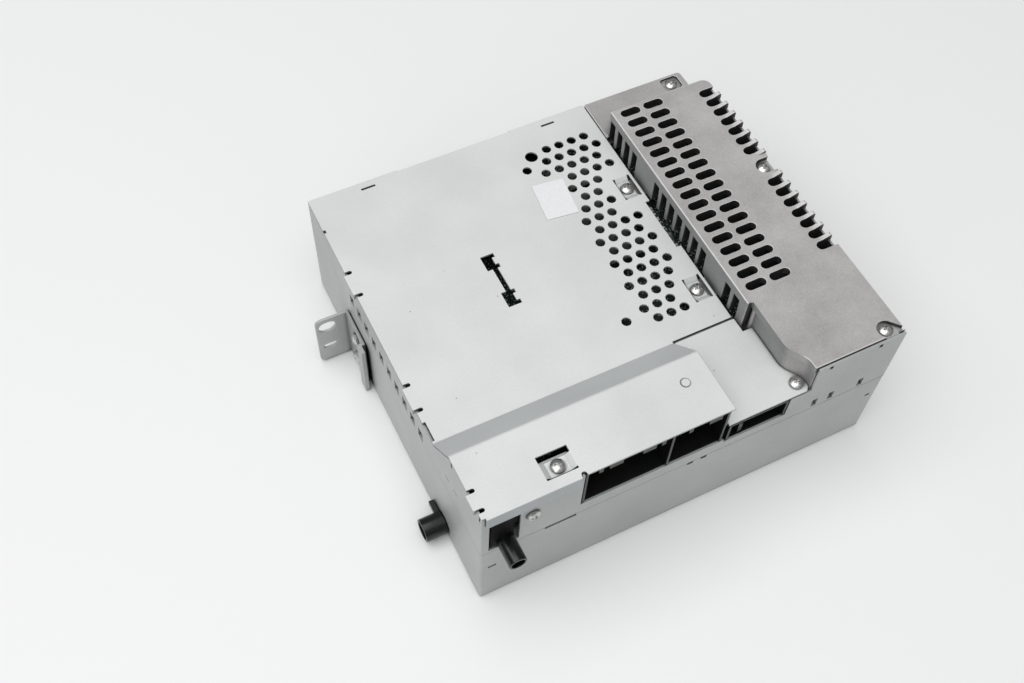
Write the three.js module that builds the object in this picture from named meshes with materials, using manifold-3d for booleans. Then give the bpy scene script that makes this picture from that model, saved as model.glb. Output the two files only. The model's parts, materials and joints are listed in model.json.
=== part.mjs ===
// Car navigation radio: the main unit from behind a dashboard, lying on its underside.
// Lengths are in millimetres. While the pieces are shaped, X counts from the left side, Y from the
// rear face with its connectors, and Z from the underside. The finished unit is centred on X and Y.

import * as THREE from 'three';
import Module from 'manifold-3d';
import { mergeVertices } from 'three/addons/utils/BufferGeometryUtils.js';

const wasm = await Module();
wasm.setup();

// Whole unit
const UNIT_WIDTH = 178;
const UNIT_DEPTH = 165;
const SEAM_HEIGHT = 41;
const COVER_TOP = 58.6;
const TIER_TOP = 72.8;
const SHEET = 1;
const COVER_SHEET = 0.8;
const SEAT_GAP = 0.3;
const SCREW_GAP = 0.1;
const OVERCUT = 1;
const WELD = 0.0001;

// Lower chassis
const JACK_HOLE_GAP = 0.4;
const CHASSIS_SLIT_HEIGHT = 1.6;
const LEFT_SLIT_START = 3.2;
const LEFT_SLIT_LENGTH = 3.4;
const LEFT_SLIT_HEIGHT = 27.3;
const RIGHT_SLIT_FROM_RIGHT = 5;
const RIGHT_SLIT_LENGTH = 2.2;
const RIGHT_SLIT_HEIGHT = 28.4;
const SEAM_SLIT_START = 26.3;
const SEAM_SLIT_LENGTH = 12.9;
const SEAM_NOTCH_FIRST = 87;
const SEAM_NOTCH_SECOND = 93;
const SEAM_NOTCH_LENGTH = 2.6;
const FLOOR_VENT_COUNT = 7;
const FLOOR_VENT_LENGTH = 46;
const FLOOR_VENT_WIDTH = 3;
const FLOOR_VENT_PITCH = 8;
const FLOOR_VENT_OFFSET = 8;

// Upper frame
const SHELF_WIDTH = 6;
const RIGHT_SHELF_WIDTH = 18;
const FRONT_SHELF_INSET = 3;
const SIDE_SLOT_FRONT_MARGIN = 44;
const SIDE_SLOT_FIRST = 52.6;
const SIDE_SLOT_PITCH = 7.5;
const SIDE_SLOT_WIDTH = 4.2;
const SIDE_SLOT_BOTTOM = 42.4;
const SIDE_SLOT_TALL = 6;
const SIDE_SLIT_LENGTH = 3;
const SIDE_SLIT_HEIGHT = 0.9;
const SIDE_SLIT_ONE_Y = 28.4;
const SIDE_SLIT_ONE_Z = 52.6;
const SIDE_SLIT_TWO_Y = 21.5;
const SIDE_SLIT_TWO_Z = 53.4;
const TIER_SLIT_Y = 24.4;
const TIER_SLIT_BOTTOM = 67.8;
const CORNER_SLIT_Y = 1.5;
const CORNER_SLIT_BOTTOM = 68.2;
const REAR_SCREW_X = 20.3;
const REAR_SCREW_DROP = 14.1;
const JACK_WINDOW_LEFT = 3.2;
const JACK_WINDOW_WIDTH = 12.2;
const JACK_WINDOW_BOTTOM = 42.9;
const JACK_WINDOW_DROP = 6.3;
const MAIN_OPENING_LEFT = 40.3;
const OPENING_STEP = 0.2;
const MAIN_OPENING_BOTTOM = 47.8;
const OPENING_SINK_GAP = 0.4;
const SMALL_OPENING_BOTTOM = 46.1;
const SINK_PANEL_GAP = 0.1;
const SINK_PANEL_DROP = 0.8;
const LATCH_SLOT_WIDTH = 2.4;
const LATCH_SLOT_TALL = 5.2;
const LATCH_SLOT_BOTTOM = 42.4;
const LATCH_ONE_FROM_RIGHT = 34.5;
const LATCH_TWO_FROM_RIGHT = 26.8;
const LATCH_THREE_FROM_RIGHT = 12.8;
const HOOK_ONE_FROM_RIGHT = 33.8;
const HOOK_TWO_FROM_RIGHT = 11.2;
const HOOK_SLOT_WIDTH = 1.6;
const HOOK_SLOT_TALL = 2;
const HOOK_SLOT_DROP = 2.6;
const TIER_TAB_DEPTH = 12;
const PLATE_TAB_INSET = 8.7;
const PLATE_TAB_END = 1.5;
const PLATE_TAB_DEPTH = 7.2;

// Top cover
const COVER_SINK_GAP = 1.5;
const TIER_FROM_RIGHT = 76.4;
const TIER_DEPTH = 26.8;
const BEVEL_RUN = 13.7;
const COVER_REAR_EDGE = 41.2;
const LIP_LEFT = 41;
const LIP_REACH = 0.4;
const LIP_RELIEF_INSET = 1.2;
const LIP_RELIEF_Y = 0.2;
const LIP_RELIEF_RADIUS = 1.1;
const FLANGE_LEFT = 1.6;
const FLANGE_RIGHT = 38.6;
const FLANGE_TALL = 6.8;
const EDGE_TAB_WIDTH = 10;
const EDGE_TAB_TALL = 8;
const EDGE_TAB_DROP = 3;
const EDGE_TAB_FROM_FRONT = 46.5;
const EDGE_TAB_MIDDLE = 61.3;
const EDGE_TAB_REAR = 7.3;
const REAR_TAB_WIDTH = 6.4;
const RELIEF_WIDTH = 1.6;
const RELIEF_DEPTH = 2;
const SINGLE_RELIEF_FROM_FRONT = 17.7;
const SIDE_RECESS_START = 41.5;
const SIDE_RECESS_LENGTH = 8.5;
const SIDE_RECESS_DEPTH = 1.2;
const FRONT_STEP_LEFT = 40;
const FRONT_STEP_FROM_RIGHT = 86;
const FRONT_STEP_DEPTH = 0.6;
const FRONT_SLIT_MARGIN = 3.6;
const FRONT_SLIT_LENGTH = 6.2;
const FRONT_SLIT_WIDTH = 0.9;
const FRONT_SLIT_LEFT = 22.4;
const FRONT_SLIT_FROM_RIGHT = 71.7;
const CUTOUT_DEPTH = 2;
const CUTOUT_LEAD = 7.4;
const CUTOUT_LENGTH = 25.6;
const BRIDGE_WINDOW_INSET = 8.7;
const BRIDGE_WINDOW_WIDTH = 7.6;
const BRIDGE_WINDOW_LENGTH = 11.8;
const BRIDGE_FROM_FRONT = 49.1;
const BRIDGE_REAR_Y = 58.9;
const BRIDGE_MARGIN = 0.9;
const BRIDGE_DROP = 1.6;
const BRIDGE_RAMP = 2.2;
const TIER_WINDOW_LEFT = 27;
const TIER_WINDOW_LENGTH = 12.3;
const TIER_WINDOW_REAR = 3.4;
const TIER_WINDOW_WIDTH = 9.8;
const TIER_BRIDGE_WIDTH = 6.4;
const TIER_BRIDGE_START = 4.2;
const SCREW_HOLE_RADIUS = 1.8;

// Perforations
const HOLE_RADIUS = 2.05;
const HOLE_PITCH = 6;
const HOLE_ROW_PITCH = 5.96;
const HOLE_FRONT_MARGIN = 15;
const HOLE_FIRST_ROW = 53.4;
const HOLES_FROM_EDGE = 26.1;
const HOLE_SEGMENTS = 10;
const HOLE_COLUMNS = 5;
const HOLE_EDGE_MARGIN = 7;
const HOLE_WIDE_MARGIN = 4.5;
const HOLE_WIDE_AFTER_BRIDGE = 10.1;
const HOLE_NARROW_MARGIN = 13;
const HOLE_SCREW_CLEARANCE = 9.5;
const LARGE_HOLE_RADIUS = 2.75;
const LARGE_HOLE_FROM_EDGE = 33.9;
const LARGE_HOLE_FROM_FRONT = 17.4;
const SINGLE_HOLE_FRONT_X = 39;
const SINGLE_HOLE_FRONT_Y = 23.5;
const SINGLE_HOLE_LABEL_X = 32.3;
const SINGLE_HOLE_LABEL_Y = 28;
const SINGLE_HOLE_REAR_X = 38.4;
const SINGLE_HOLE_REAR_Y = 56.9;

// Lanced slot above the board
const LANCE_LEFT = 51.8;
const LANCE_RIGHT = 57.5;
const LANCE_BAR_LEFT = 54;
const LANCE_BAR_RIGHT = 56.1;
const LANCE_REAR = 82.5;
const LANCE_FRONT = 108.9;
const LANCE_PAD_LENGTH = 7.3;
const LANCE_HOOK_LENGTH = 1.9;

// Label
const LABEL_WIDTH = 14;
const LABEL_LENGTH = 18.8;
const LABEL_THICK = 0.15;
const LABEL_FROM_EDGE = 35.4;
const LABEL_FROM_FRONT = 42.1;
const LABEL_TURN = -0.115;
const LABEL_GAP = 0.05;

// Right rear plate
const PLATE_TIER_GAP = 0.5;
const PLATE_REAR = 0.3;
const PLATE_FRONT = 40.2;
const PLATE_SINK_GAP = 1;
const PLATE_SHOULDER_Y = 33.6;
const PLATE_STEP_DROP = 1.1;
const PLATE_STRIP_FRONT = 44.5;
const PLATE_CORNER = 1.6;
const PLATE_SCREW_INSET = 4;
const PLATE_SCREW_Y = 4.9;

// Curve between the right rear plate and the heat sink
const CURVE_NEAR_OFFSET = 3.6;
const CURVE_SWING = 5.1;
const CURVE_FRONT_Y = 15.5;
const CURVE_REAR_Y = 4;
const CURVE_STEPS = 7;
const CURVE_GAP = 0.4;
const CURVE_OVERHANG = 1.3;

// Heat sink
const SINK_SPAN = 48;
const SINK_SIDE_INSET = 0.4;
const SINK_PLATE_THICK = 3.5;
const SINK_WALL = 3;
const SINK_WALL_DROP = 1.4;
const SINK_FRONT_INSET = 20;
const SINK_CURVE_TOP_Y = 36.6;
const SINK_CURVE_BOTTOM = 46.5;
const SINK_CURVE_WALL = 2.2;
const SINK_LUG_WIDTH = 2.6;
const COVER_LUG_REACH = 11;
const COVER_LUG_LENGTH = 10;
const COVER_LUG_THICK = 3.3;
const BITE_RADIUS = 1.6;
const SINK_SIDE_WIDTH = 11.1;
const SINK_SIDE_REAR = 1.3;
const FIN_DEPTH = 8;
const LEDGE_THICK = 3;
const LEDGE_FRONT_INSET = 0.4;
const LEDGE_OVERHANG = 0.9;
const SKIRT_THICK = 2.8;
const REAR_HOLLOW_WALL = 3;
const REAR_HOLLOW_START = 9.5;
const REAR_HOLLOW_FRONT = 43;
const PILL_FIRST = 43.3;
const PILL_PITCH = 6.145;
const PILL_LENGTH = 9;
const PILL_WIDTH = 3.7;
const PILL_INSET = 7.9;
const PILL_COLUMN_PITCH = 11;
const PILL_SEGMENTS = 8;
const INNER_FIN_THICK = 2.4;
const INNER_FIN_GAP = 11;
const INNER_FIN_RISE = 0.4;
const WINDOW_DROP = 4;
const WINDOW_WIDTH = 4;
const SOLID_ROWS = [2, 3, 11, 12];
const NOTCH_COUNT = 7;
const NOTCH_PITCH = 5.9;
const NOTCH_WIDTH = 4;
const NOTCH_END_MARGIN = 6.5;
const NOTCH_AFTER_BOSS = 9.6;
const NOTCH_REAR_FIRST = 48;
const RIM_WEB_THICK = 1;
const RIM_WEB_DROP = 2;
const FIN_TIP_LENGTH = 4;
const FIN_TIP_RISE = 1.2;
const FIN_TIP_FLAT = 0.9;
const FIN_TIP_DROP = 0.6;
const FIN_NOSE_TALL = 2.4;
const SINK_CORNER = 4;
const SINK_CORNER_SEGMENTS = 20;
const LEDGE_CORNER = 1.6;
const BOSS_INSET = 4.2;
const BOSS_Y = 92.4;
const BOSS_POCKET = 3.6;
const BOSS_SEAT_DEPTH = 2.4;
const CORNER_INSET = 6.2;
const CORNER_Y = 4.6;
const CORNER_POCKET = 3.7;
const CORNER_POCKET_TIP = 1.7;
const CORNER_SEAT_DEPTH = 1.4;
const LEDGE_SCREW_INSET = 6.8;
const LEDGE_SCREW_MARGIN = 4.7;
const LEDGE_POCKET_LENGTH = 8.4;
const LEDGE_POCKET_WIDTH = 7.2;
const LEDGE_POCKET_CORNER = 1.4;
const LEDGE_POCKET_STEPS = 3;
const LEDGE_SEAT_DEPTH = 1.3;
const POCKET_SEGMENTS = 16;

// Mounting bracket
const BRACKET_SHEET = 1.2;
const BRACKET_FROM_FRONT = 37.7;
const BRACKET_LENGTH = 23;
const BRACKET_BOTTOM = 0.6;
const BRACKET_TALL = 29.6;
const BRACKET_EAR_CORNER = 2.5;
const BRACKET_CORNER_STEPS = 4;
const BRACKET_REACH = 15.4;
const BRACKET_RIB = 3.7;
const BRACKET_RIB_LENGTH = 5;
const BRACKET_RIB_LIFT = 1.9;
const BRACKET_HOLE_X = -10.4;
const BRACKET_HOLE_Z = 24.7;
const BRACKET_HOLE_LENGTH = 7.6;
const BRACKET_HOLE_WIDTH = 6.6;
const BRACKET_SLOT_X = -10.1;
const BRACKET_SLOT_Z = 10.8;
const BRACKET_SLOT_LENGTH = 6;
const BRACKET_SLOT_WIDTH = 3.2;
const BRACKET_SCREW_INSET = 11.7;
const BRACKET_SCREW_LOW = 11;
const BRACKET_SCREW_HIGH = 24.8;

// Screws
const HEAD_RADIUS = 2.75;
const HEAD_RIM = 1.3;
const HEAD_HEIGHT = 2;
const HEAD_FLAT_SHARE = 0.7;
const SHANK_RADIUS = 1.5;
const SHANK_LENGTH = 3.4;
const RECESS_LENGTH = 3;
const RECESS_WIDTH = 0.8;
const RECESS_DEPTH = 1.1;
const SCREW_SEGMENTS = 12;

// Antenna jacks
const REAR_JACK_X = 9.6;
const REAR_JACK_Z = 48;
const REAR_JACK_RADIUS = 3.6;
const REAR_JACK_BORE = 2.7;
const REAR_JACK_REACH = 10.9;
const REAR_JACK_FLOOR = 1.6;
const REAR_BLOCK_LEFT = 4;
const REAR_BLOCK_WIDTH = 9;
const REAR_BLOCK_BOTTOM = 44.6;
const REAR_BLOCK_GAP = 0.5;
const REAR_BLOCK_DEPTH = 13;
const REAR_FLANGE_RIGHT = 24.3;
const REAR_FLANGE_THICK = 2;
const REAR_FLANGE_TALL = 8;
const LEFT_JACK_Y = 32.5;
const LEFT_JACK_Z = 6.4;
const LEFT_JACK_RADIUS = 4.9;
const LEFT_JACK_BORE = 3.9;
const LEFT_JACK_REACH = 9.6;
const LEFT_JACK_FLOOR = 1.8;
const LEFT_JACK_NECK = 4;
const LEFT_BLOCK_DEPTH = 11;
const LEFT_BLOCK_WIDTH = 12;
const LEFT_BLOCK_TOP = 12;
const LEFT_LUG_START = 35.4;
const LEFT_LUG_LENGTH = 6.6;
const LEFT_LUG_BOTTOM = 6.6;
const LEFT_LUG_TALL = 2.8;
const LEFT_LUG_REACH = 2.6;
const CONTACT_RADIUS = 0.7;
const CONTACT_GAP = 0.1;
const CONTACT_ROOT = 1.1;
const CONTACT_LENGTH_SHARE = 0.8;
const JACK_SEGMENTS = 20;

// Rear connectors
const HOUSING_GAP = 0.6;
const HOUSING_WALL = 1;
const HOUSING_FRONT = 0.3;
const HOUSING_DEPTH = 19;
const CAVITY_DEPTH = 14;
const MAIN_HOUSING_GAP = 0.4;
const MAIN_DIVIDER_SHARE = 0.593;
const SMALL_HOUSING_GAP = 0.5;
const SMALL_HOUSING_DEPTH = 16;
const FOOT_MARGIN = 5;
const FOOT_START = 8;
const KEY_DEPTH = 9;
const HOUSING_SINK = 0.2;
const KEY_WIDE = 5.6;
const KEY_NARROW = 1.8;
const KEY_DROP_SHARE = 0.15;
const RAIL_DROP = 3.4;
const KEY_WIDE_SHARES = [0.21, 0.43, 0.88];
const KEY_NARROW_SHARES = [0.11, 0.525, 0.71];
const PIN_WIDTH = 0.9;
const PIN_LENGTH = 8;
const PIN_PITCH = 3.6;
const PIN_BAR_THICK = 0.8;
const PIN_ROW_LOW_SHARE = 0.3;
const PIN_ROW_HIGH_SHARE = 0.6;
const PIN_MARGIN = 3.4;
const RAIL_SPAN = 8.2;
const SMALL_PIN_MARGIN = 1.8;

// Main board and what stands on it
const BOARD_THICK = 1.6;
const BOARD_LEFT = 2;
const BOARD_REAR = 5;
const BOARD_FRONT_INSET = 4.5;
const SHIELD_LUG_GAP = 1;
const SHIELD_WIDTH = 21;
const SHIELD_FROM_FRONT = 79;
const SHIELD_LENGTH = 54;
const SHIELD_HEADROOM = 3.3;
const SHIELD_WALL = 0.6;
const SHIELD_SLIT_LENGTH = 9;
const SHIELD_SLIT_COUNT = 3;
const HEADER_INSET = 2.9;
const HEADER_WIDTH = 5;
const HEADER_MARGIN = 1;
const HEADER_LENGTH = 28;
const HEADER_PIN_COUNT = 9;
const HEADER_PIN_WIDTH = 0.8;
const HEADER_PIN_TALL = 2;
const PROCESSOR_LEFT = 62;
const PROCESSOR_REAR = 54;
const PROCESSOR_SIDE = 28;
const PROCESSOR_TALL = 2.2;
const AMPLIFIER_THICK = 5;
const AMPLIFIER_REAR = 56;
const AMPLIFIER_LENGTH = 28;
const AMPLIFIER_HEADROOM = 6.8;
const CAPACITOR_RADIUS = 6.5;
const CAPACITOR_CURVE_GAP = 8.3;
const CAPACITOR_FIRST_Y = 16;
const CAPACITOR_PITCH = 15;
const CAPACITOR_GROOVE = 0.5;
const CAPACITOR_GROOVE_SHARE = 0.12;

// Front panel, bezel and dust flap
const PANEL_SHEET = 1.2;
const PANEL_INSET = 1.6;
const PANEL_LEDGE_GAP = 0.7;
const BEZEL_INSET = 5.4;
const BEZEL_BOTTOM = 21.8;
const BEZEL_TOP = 33.8;
const BEZEL_BACK_REACH = 3.2;
const BEZEL_FRONT_REACH = 3;
const BEZEL_RIM = 2.4;
const SLOT_INSET = 5.1;
const SLOT_BOTTOM = 24.6;
const SLOT_TOP = 30.6;
const EAR_WIDTH = 1.6;
const EAR_REACH = 4.2;
const EAR_BOTTOM = 30;
const FLAP_PIVOT_REACH = 1.6;
const FLAP_PIVOT_Z = 32.4;
const FLAP_THICK = 0.9;
const FLAP_BOTTOM = 22.8;
const FLAP_PIN_RADIUS = 1.1;
const FLAP_PIN_GAP = 0.15;
const DISPLAY_WIDTH = 41.2;
const DISPLAY_CENTRE_SHARE = 0.45;
const DISPLAY_TALL = 8;
const DISPLAY_INSET = 15;
const DISPLAY_REACH = 0.4;
const DISPLAY_WALL = 1.4;
const DISPLAY_FLOOR = 4;

// Drive tray
const DRIVE_LEFT = 14;
const DRIVE_FROM_RIGHT = 18;
const DRIVE_REAR = 12;
const DRIVE_FRONT_INSET = 11;
const DRIVE_BOTTOM = 6;
const DRIVE_SHEET = 1.2;
const DRIVE_TOP = 34;
const DRIVE_WINDOW_INSET = 36;
const DAMPER_RADIUS = 5;
const DAMPER_WAIST = 3.6;
const DAMPER_INSET = 10;

// Disc and its spindle
const DISC_SETBACK = 5;
const HUB_RADIUS = 7.3;
const HUB_TOP_RADIUS = 6;
const HUB_TOP = 25.4;
const HUB_RIM = 24.4;
const SEAT_RADIUS = 14;
const SEAT_TOP = 22.6;
const SEAT_THICK = 2;
const SHAFT_RADIUS = 1.25;
const SHAFT_BOTTOM = 10.4;
const SHAFT_GAP = 0.08;
const SPINDLE_RADIUS = 12;
const SPINDLE_BOTTOM = 8;
const SPINDLE_FLOOR = 1.6;
const DISC_SEGMENTS = 20;

// Traverse deck and pickup
const DECK_INSET = 20;
const DECK_SIDE_GAP = 0.4;
const DECK_REAR_INSET = 22;
const DECK_MOTOR_GAP = 0.9;
const DECK_BOTTOM = 13;
const DECK_THICK = 1.2;
const DECK_FOOT = 5;
const DECK_HOLE = 2.6;
const ROD_RADIUS = 1.5;
const ROD_GAP = 0.08;
const ROD_Z = 17;
const ROD_SPREAD = 16;
const ROD_START_OFFSET = 11;
const ROD_HOLDER = 2.6;
const ROD_HOLDER_TOP = 19.6;
const ROD_HOLDER_WIDTH = 6;
const ROD_SEGMENTS = 10;
const SLED_REST_GAP = 3.4;
const SLED_LENGTH = 20;
const SLED_BOTTOM = 14.7;
const SLED_TOP = 19.8;
const SLED_MARGIN = 3.6;
const SLED_ARM_LENGTH = 6;
const SLED_ARM_REACH = 2.6;
const SCREW_AXIS_OFFSET = 26;
const THREAD_RADIUS = 1.2;
const THREAD_OFFSET = 0.45;
const THREAD_PITCH = 3;
const THREAD_SIDES = 5;
const THREAD_STEPS_PER_TURN = 4;
const THREAD_GAP = 0.4;
const SLED_MOTOR_RADIUS = 5.2;
const SLED_MOTOR_LENGTH = 23;
const SLED_MOTOR_GAP = 0.4;
const LENS_RADIUS = 3.4;
const LENS_WELL = 3.7;
const LENS_FLOOR = 16.6;
const LENS_TOP = 21.2;

// Clamp arm and puck
const CLAMP_PIVOT_INSET = 5.5;
const CLAMP_PIVOT_Z = 35.4;
const CLAMP_PIN_RADIUS = 1.5;
const CLAMP_PIN_GAP = 0.08;
const CLAMP_PLATE_BOTTOM = 34;
const CLAMP_PLATE_THICK = 1.2;
const CLAMP_ROOT_WIDTH = 50;
const CLAMP_NOSE_WIDTH = 27;
const CLAMP_TAPER_OFFSET = 26;
const CLAMP_NOSE_REACH = 14;
const CLAMP_RIB_THICK = 1.2;
const CLAMP_RIB_TOP = 37.6;
const CLAMP_EAR_LENGTH = 9.5;
const CLAMP_EAR_BOTTOM = 28;
const CLAMP_EAR_TOP = 38.4;
const PUCK_RADIUS = 14;
const PUCK_BOTTOM = 30.4;
const PUCK_SHOULDER = 33.6;
const PUCK_NECK = 8;
const PUCK_NECK_GAP = 0.4;
const PUCK_FLANGE = 10;
const PUCK_FLANGE_BOTTOM = 35.6;
const PUCK_TOP = 36.9;
const PUCK_RECESS = 8;
const PUCK_RECESS_DEPTH = 2.2;

// Loading roller and its gears
const ROLLER_FRONT_INSET = 8;
const ROLLER_Z = 21.6;
const ROLLER_RADIUS = 4;
const ROLLER_INSET = 8;
const ROLLER_WAIST_SHARE = 0.8;
const ROLLER_SHAFT_RADIUS = 1.5;
const ROLLER_SHAFT_GAP = 0.08;
const ROLLER_SHAFT_REACH = 1.4;
const GEAR_MODULE = 0.75;
const GEAR_WIDTH = 3;
const GEAR_OFFSET = 0.6;
const GEAR_BACKLASH = 0.12;
const GEAR_ROOT_SHARE = 0.32;
const GEAR_TIP_SHARE = 0.13;
const ROLLER_TEETH = 16;
const IDLER_TEETH = 24;
const MOTOR_TEETH = 10;
const IDLER_SLOPE = 0.37;
const MOTOR_SLOPE = 0.04;
const IDLER_PIN_RADIUS = 1.5;
const LOAD_MOTOR_RADIUS = 6.4;
const LOAD_MOTOR_LENGTH = 22;
const LOAD_SHAFT_RADIUS = 1;
const LOAD_SHAFT_ROOT = 2.5;
const LOAD_HOLE_RADIUS = 1.6;
const ROLLER_SEGMENTS = 16;

// Disc guide
const GUIDE_LENGTH = 14;
const GUIDE_FRONT_INSET = 7;
const GUIDE_BOTTOM = 30.4;
const GUIDE_SHEET = 1.2;
const GUIDE_RIB = 2.4;

// Values worked out from the sizes above
const SINK_RIGHT = UNIT_WIDTH - SINK_SIDE_INSET;
const SINK_LEFT = UNIT_WIDTH - SINK_SPAN;
const RIGHT_SLIT_START = UNIT_WIDTH - RIGHT_SLIT_FROM_RIGHT;
const RIGHT_SHELF_START = UNIT_WIDTH - RIGHT_SHELF_WIDTH;
const TIER_WIDTH = UNIT_WIDTH - TIER_FROM_RIGHT;
const MAIN_OPENING_RIGHT = TIER_WIDTH + OPENING_STEP;
const PLATE_LEFT = TIER_WIDTH + PLATE_TIER_GAP;
const SMALL_OPENING_RIGHT = SINK_LEFT - OPENING_SINK_GAP;
const COVER_WIDTH = SINK_LEFT - COVER_SINK_GAP;
const LEDGE_LEFT = SINK_LEFT - LEDGE_OVERHANG;
const PANEL_SPLIT = LEDGE_LEFT - PANEL_LEDGE_GAP;
const PLATE_SHOULDER_X = SINK_LEFT - PLATE_SINK_GAP;
const CURVE_NEAR_X = SINK_LEFT + CURVE_NEAR_OFFSET;
const CURVE_FAR_X = CURVE_NEAR_X + CURVE_SWING;
const SINK_PANEL_LEFT = CURVE_FAR_X + SINK_PANEL_GAP;
const PLATE_SCREW_X = CURVE_FAR_X - PLATE_SCREW_INSET;
const PLATE_TAB_LEFT = CURVE_FAR_X - PLATE_TAB_INSET;
const PLATE_TAB_RIGHT = CURVE_FAR_X - PLATE_TAB_END;
const LATCH_SLOT_ONE = UNIT_WIDTH - LATCH_ONE_FROM_RIGHT;
const LATCH_SLOT_TWO = UNIT_WIDTH - LATCH_TWO_FROM_RIGHT;
const LATCH_SLOT_THREE = UNIT_WIDTH - LATCH_THREE_FROM_RIGHT;
const HOOK_SLOT_ONE = UNIT_WIDTH - HOOK_ONE_FROM_RIGHT;
const HOOK_SLOT_TWO = UNIT_WIDTH - HOOK_TWO_FROM_RIGHT;
const FRONT_STEP_RIGHT = UNIT_WIDTH - FRONT_STEP_FROM_RIGHT;
const FRONT_SLIT_RIGHT = UNIT_WIDTH - FRONT_SLIT_FROM_RIGHT;
const CUTOUT_LEFT = COVER_WIDTH - CUTOUT_DEPTH;
const BRIDGE_WINDOW_LEFT = COVER_WIDTH - BRIDGE_WINDOW_INSET;
const HOLE_FIRST_COLUMN = COVER_WIDTH - HOLES_FROM_EDGE;
const HOLE_RIGHT_LIMIT = COVER_WIDTH - HOLE_EDGE_MARGIN;
const HOLE_WIDE_LIMIT = COVER_WIDTH - HOLE_WIDE_MARGIN;
const HOLE_NARROW_LIMIT = COVER_WIDTH - HOLE_NARROW_MARGIN;
const LARGE_HOLE_X = COVER_WIDTH - LARGE_HOLE_FROM_EDGE;
const LABEL_X = COVER_WIDTH - LABEL_FROM_EDGE;
const COVER_LUG_LEFT = SINK_LEFT - COVER_LUG_REACH;
const SINK_SIDE_LEFT = SINK_RIGHT - SINK_SIDE_WIDTH;
const FIN_ROOT = SINK_RIGHT - FIN_DEPTH;
const PILL_LEFT_COLUMN = SINK_LEFT + PILL_INSET;
const PILL_RIGHT_COLUMN = PILL_LEFT_COLUMN + PILL_COLUMN_PITCH;
const INNER_FIN_END = SINK_SIDE_LEFT - INNER_FIN_GAP;
const BOSS_X = SINK_RIGHT - BOSS_INSET;
const CORNER_X = SINK_RIGHT - CORNER_INSET;
const LEDGE_SCREW_X = SINK_RIGHT - LEDGE_SCREW_INSET;
const BOARD_RIGHT = SINK_SIDE_LEFT - SEAT_GAP;
const SHIELD_LEFT = COVER_LUG_LEFT - SHIELD_LUG_GAP - SHIELD_WIDTH;
const HEADER_LEFT = COVER_WIDTH - HEADER_INSET;
const CAPACITOR_X = CURVE_FAR_X + CAPACITOR_CURVE_GAP;
const DRIVE_RIGHT = UNIT_WIDTH - DRIVE_FROM_RIGHT;
const DISC_X = (DRIVE_LEFT + DRIVE_RIGHT) / 2;
const BEZEL_LEFT = DRIVE_LEFT + BEZEL_INSET;
const BEZEL_RIGHT = DRIVE_RIGHT - BEZEL_INSET;
const SLOT_LEFT = BEZEL_LEFT + SLOT_INSET;
const SLOT_RIGHT = BEZEL_RIGHT - SLOT_INSET;
const DISPLAY_LEFT = UNIT_WIDTH * DISPLAY_CENTRE_SHARE - DISPLAY_WIDTH / 2;
const DISPLAY_RIGHT = DISPLAY_LEFT + DISPLAY_WIDTH;
const DECK_LEFT = DRIVE_LEFT + DECK_INSET;
const DECK_RIGHT = DRIVE_RIGHT - DRIVE_SHEET - DECK_SIDE_GAP;
const ROD_START = DISC_X + ROD_START_OFFSET;
const SLED_START = ROD_START + SLED_REST_GAP;
const ROLLER_LEFT = DRIVE_LEFT + ROLLER_INSET;
const ROLLER_RIGHT = DRIVE_RIGHT - ROLLER_INSET;
const FRONT_SHELF_END = UNIT_DEPTH - FRONT_SHELF_INSET;
const SINK_FRONT = UNIT_DEPTH - SINK_FRONT_INSET;
const LEDGE_FRONT = UNIT_DEPTH - LEDGE_FRONT_INSET;
const LEDGE_SCREW_Y = LEDGE_FRONT - LEDGE_SCREW_MARGIN;
const BRIDGE_FRONT_Y = UNIT_DEPTH - BRIDGE_FROM_FRONT;
const HOLE_WIDE_FROM = BRIDGE_FRONT_Y + HOLE_WIDE_AFTER_BRIDGE;
const CUTOUT_START = (BRIDGE_REAR_Y + BRIDGE_FRONT_Y) / 2 - CUTOUT_LEAD;
const EDGE_TAB_FRONT = UNIT_DEPTH - EDGE_TAB_FROM_FRONT;
const SINGLE_RELIEF_Y = UNIT_DEPTH - SINGLE_RELIEF_FROM_FRONT;
const FRONT_SLIT_Y = UNIT_DEPTH - FRONT_SLIT_MARGIN;
const LARGE_HOLE_Y = UNIT_DEPTH - LARGE_HOLE_FROM_FRONT;
const LABEL_Y = UNIT_DEPTH - LABEL_FROM_FRONT;
const BRACKET_FRONT = UNIT_DEPTH - BRACKET_FROM_FRONT;
const BRACKET_SCREW_Y = BRACKET_FRONT - BRACKET_SCREW_INSET;
const BOARD_FRONT = UNIT_DEPTH - BOARD_FRONT_INSET;
const SHIELD_REAR = UNIT_DEPTH - SHIELD_FROM_FRONT;
const HEADER_REAR = CUTOUT_START - HEADER_MARGIN;
const PANEL_BACK = UNIT_DEPTH - PANEL_INSET;
const BEZEL_BACK = PANEL_BACK - BEZEL_BACK_REACH;
const BEZEL_FRONT = PANEL_BACK + BEZEL_FRONT_REACH;
const EAR_BACK = BEZEL_BACK - EAR_REACH;
const FLAP_PIVOT_Y = BEZEL_BACK - FLAP_PIVOT_REACH;
const DISPLAY_BACK = UNIT_DEPTH - DISPLAY_INSET;
const DISPLAY_FRONT = UNIT_DEPTH + DISPLAY_REACH;
const DRIVE_FRONT = UNIT_DEPTH - DRIVE_FRONT_INSET;
const ROLLER_Y = DRIVE_FRONT - ROLLER_FRONT_INSET;
const GUIDE_FRONT = DRIVE_FRONT - GUIDE_FRONT_INSET;
const GUIDE_REAR = GUIDE_FRONT - GUIDE_LENGTH;
const DISC_Y = (DRIVE_REAR + DRIVE_FRONT) / 2 - DISC_SETBACK;
const DECK_REAR = DRIVE_REAR + DECK_REAR_INSET;
const SCREW_AXIS_Y = DISC_Y - SCREW_AXIS_OFFSET;
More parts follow.
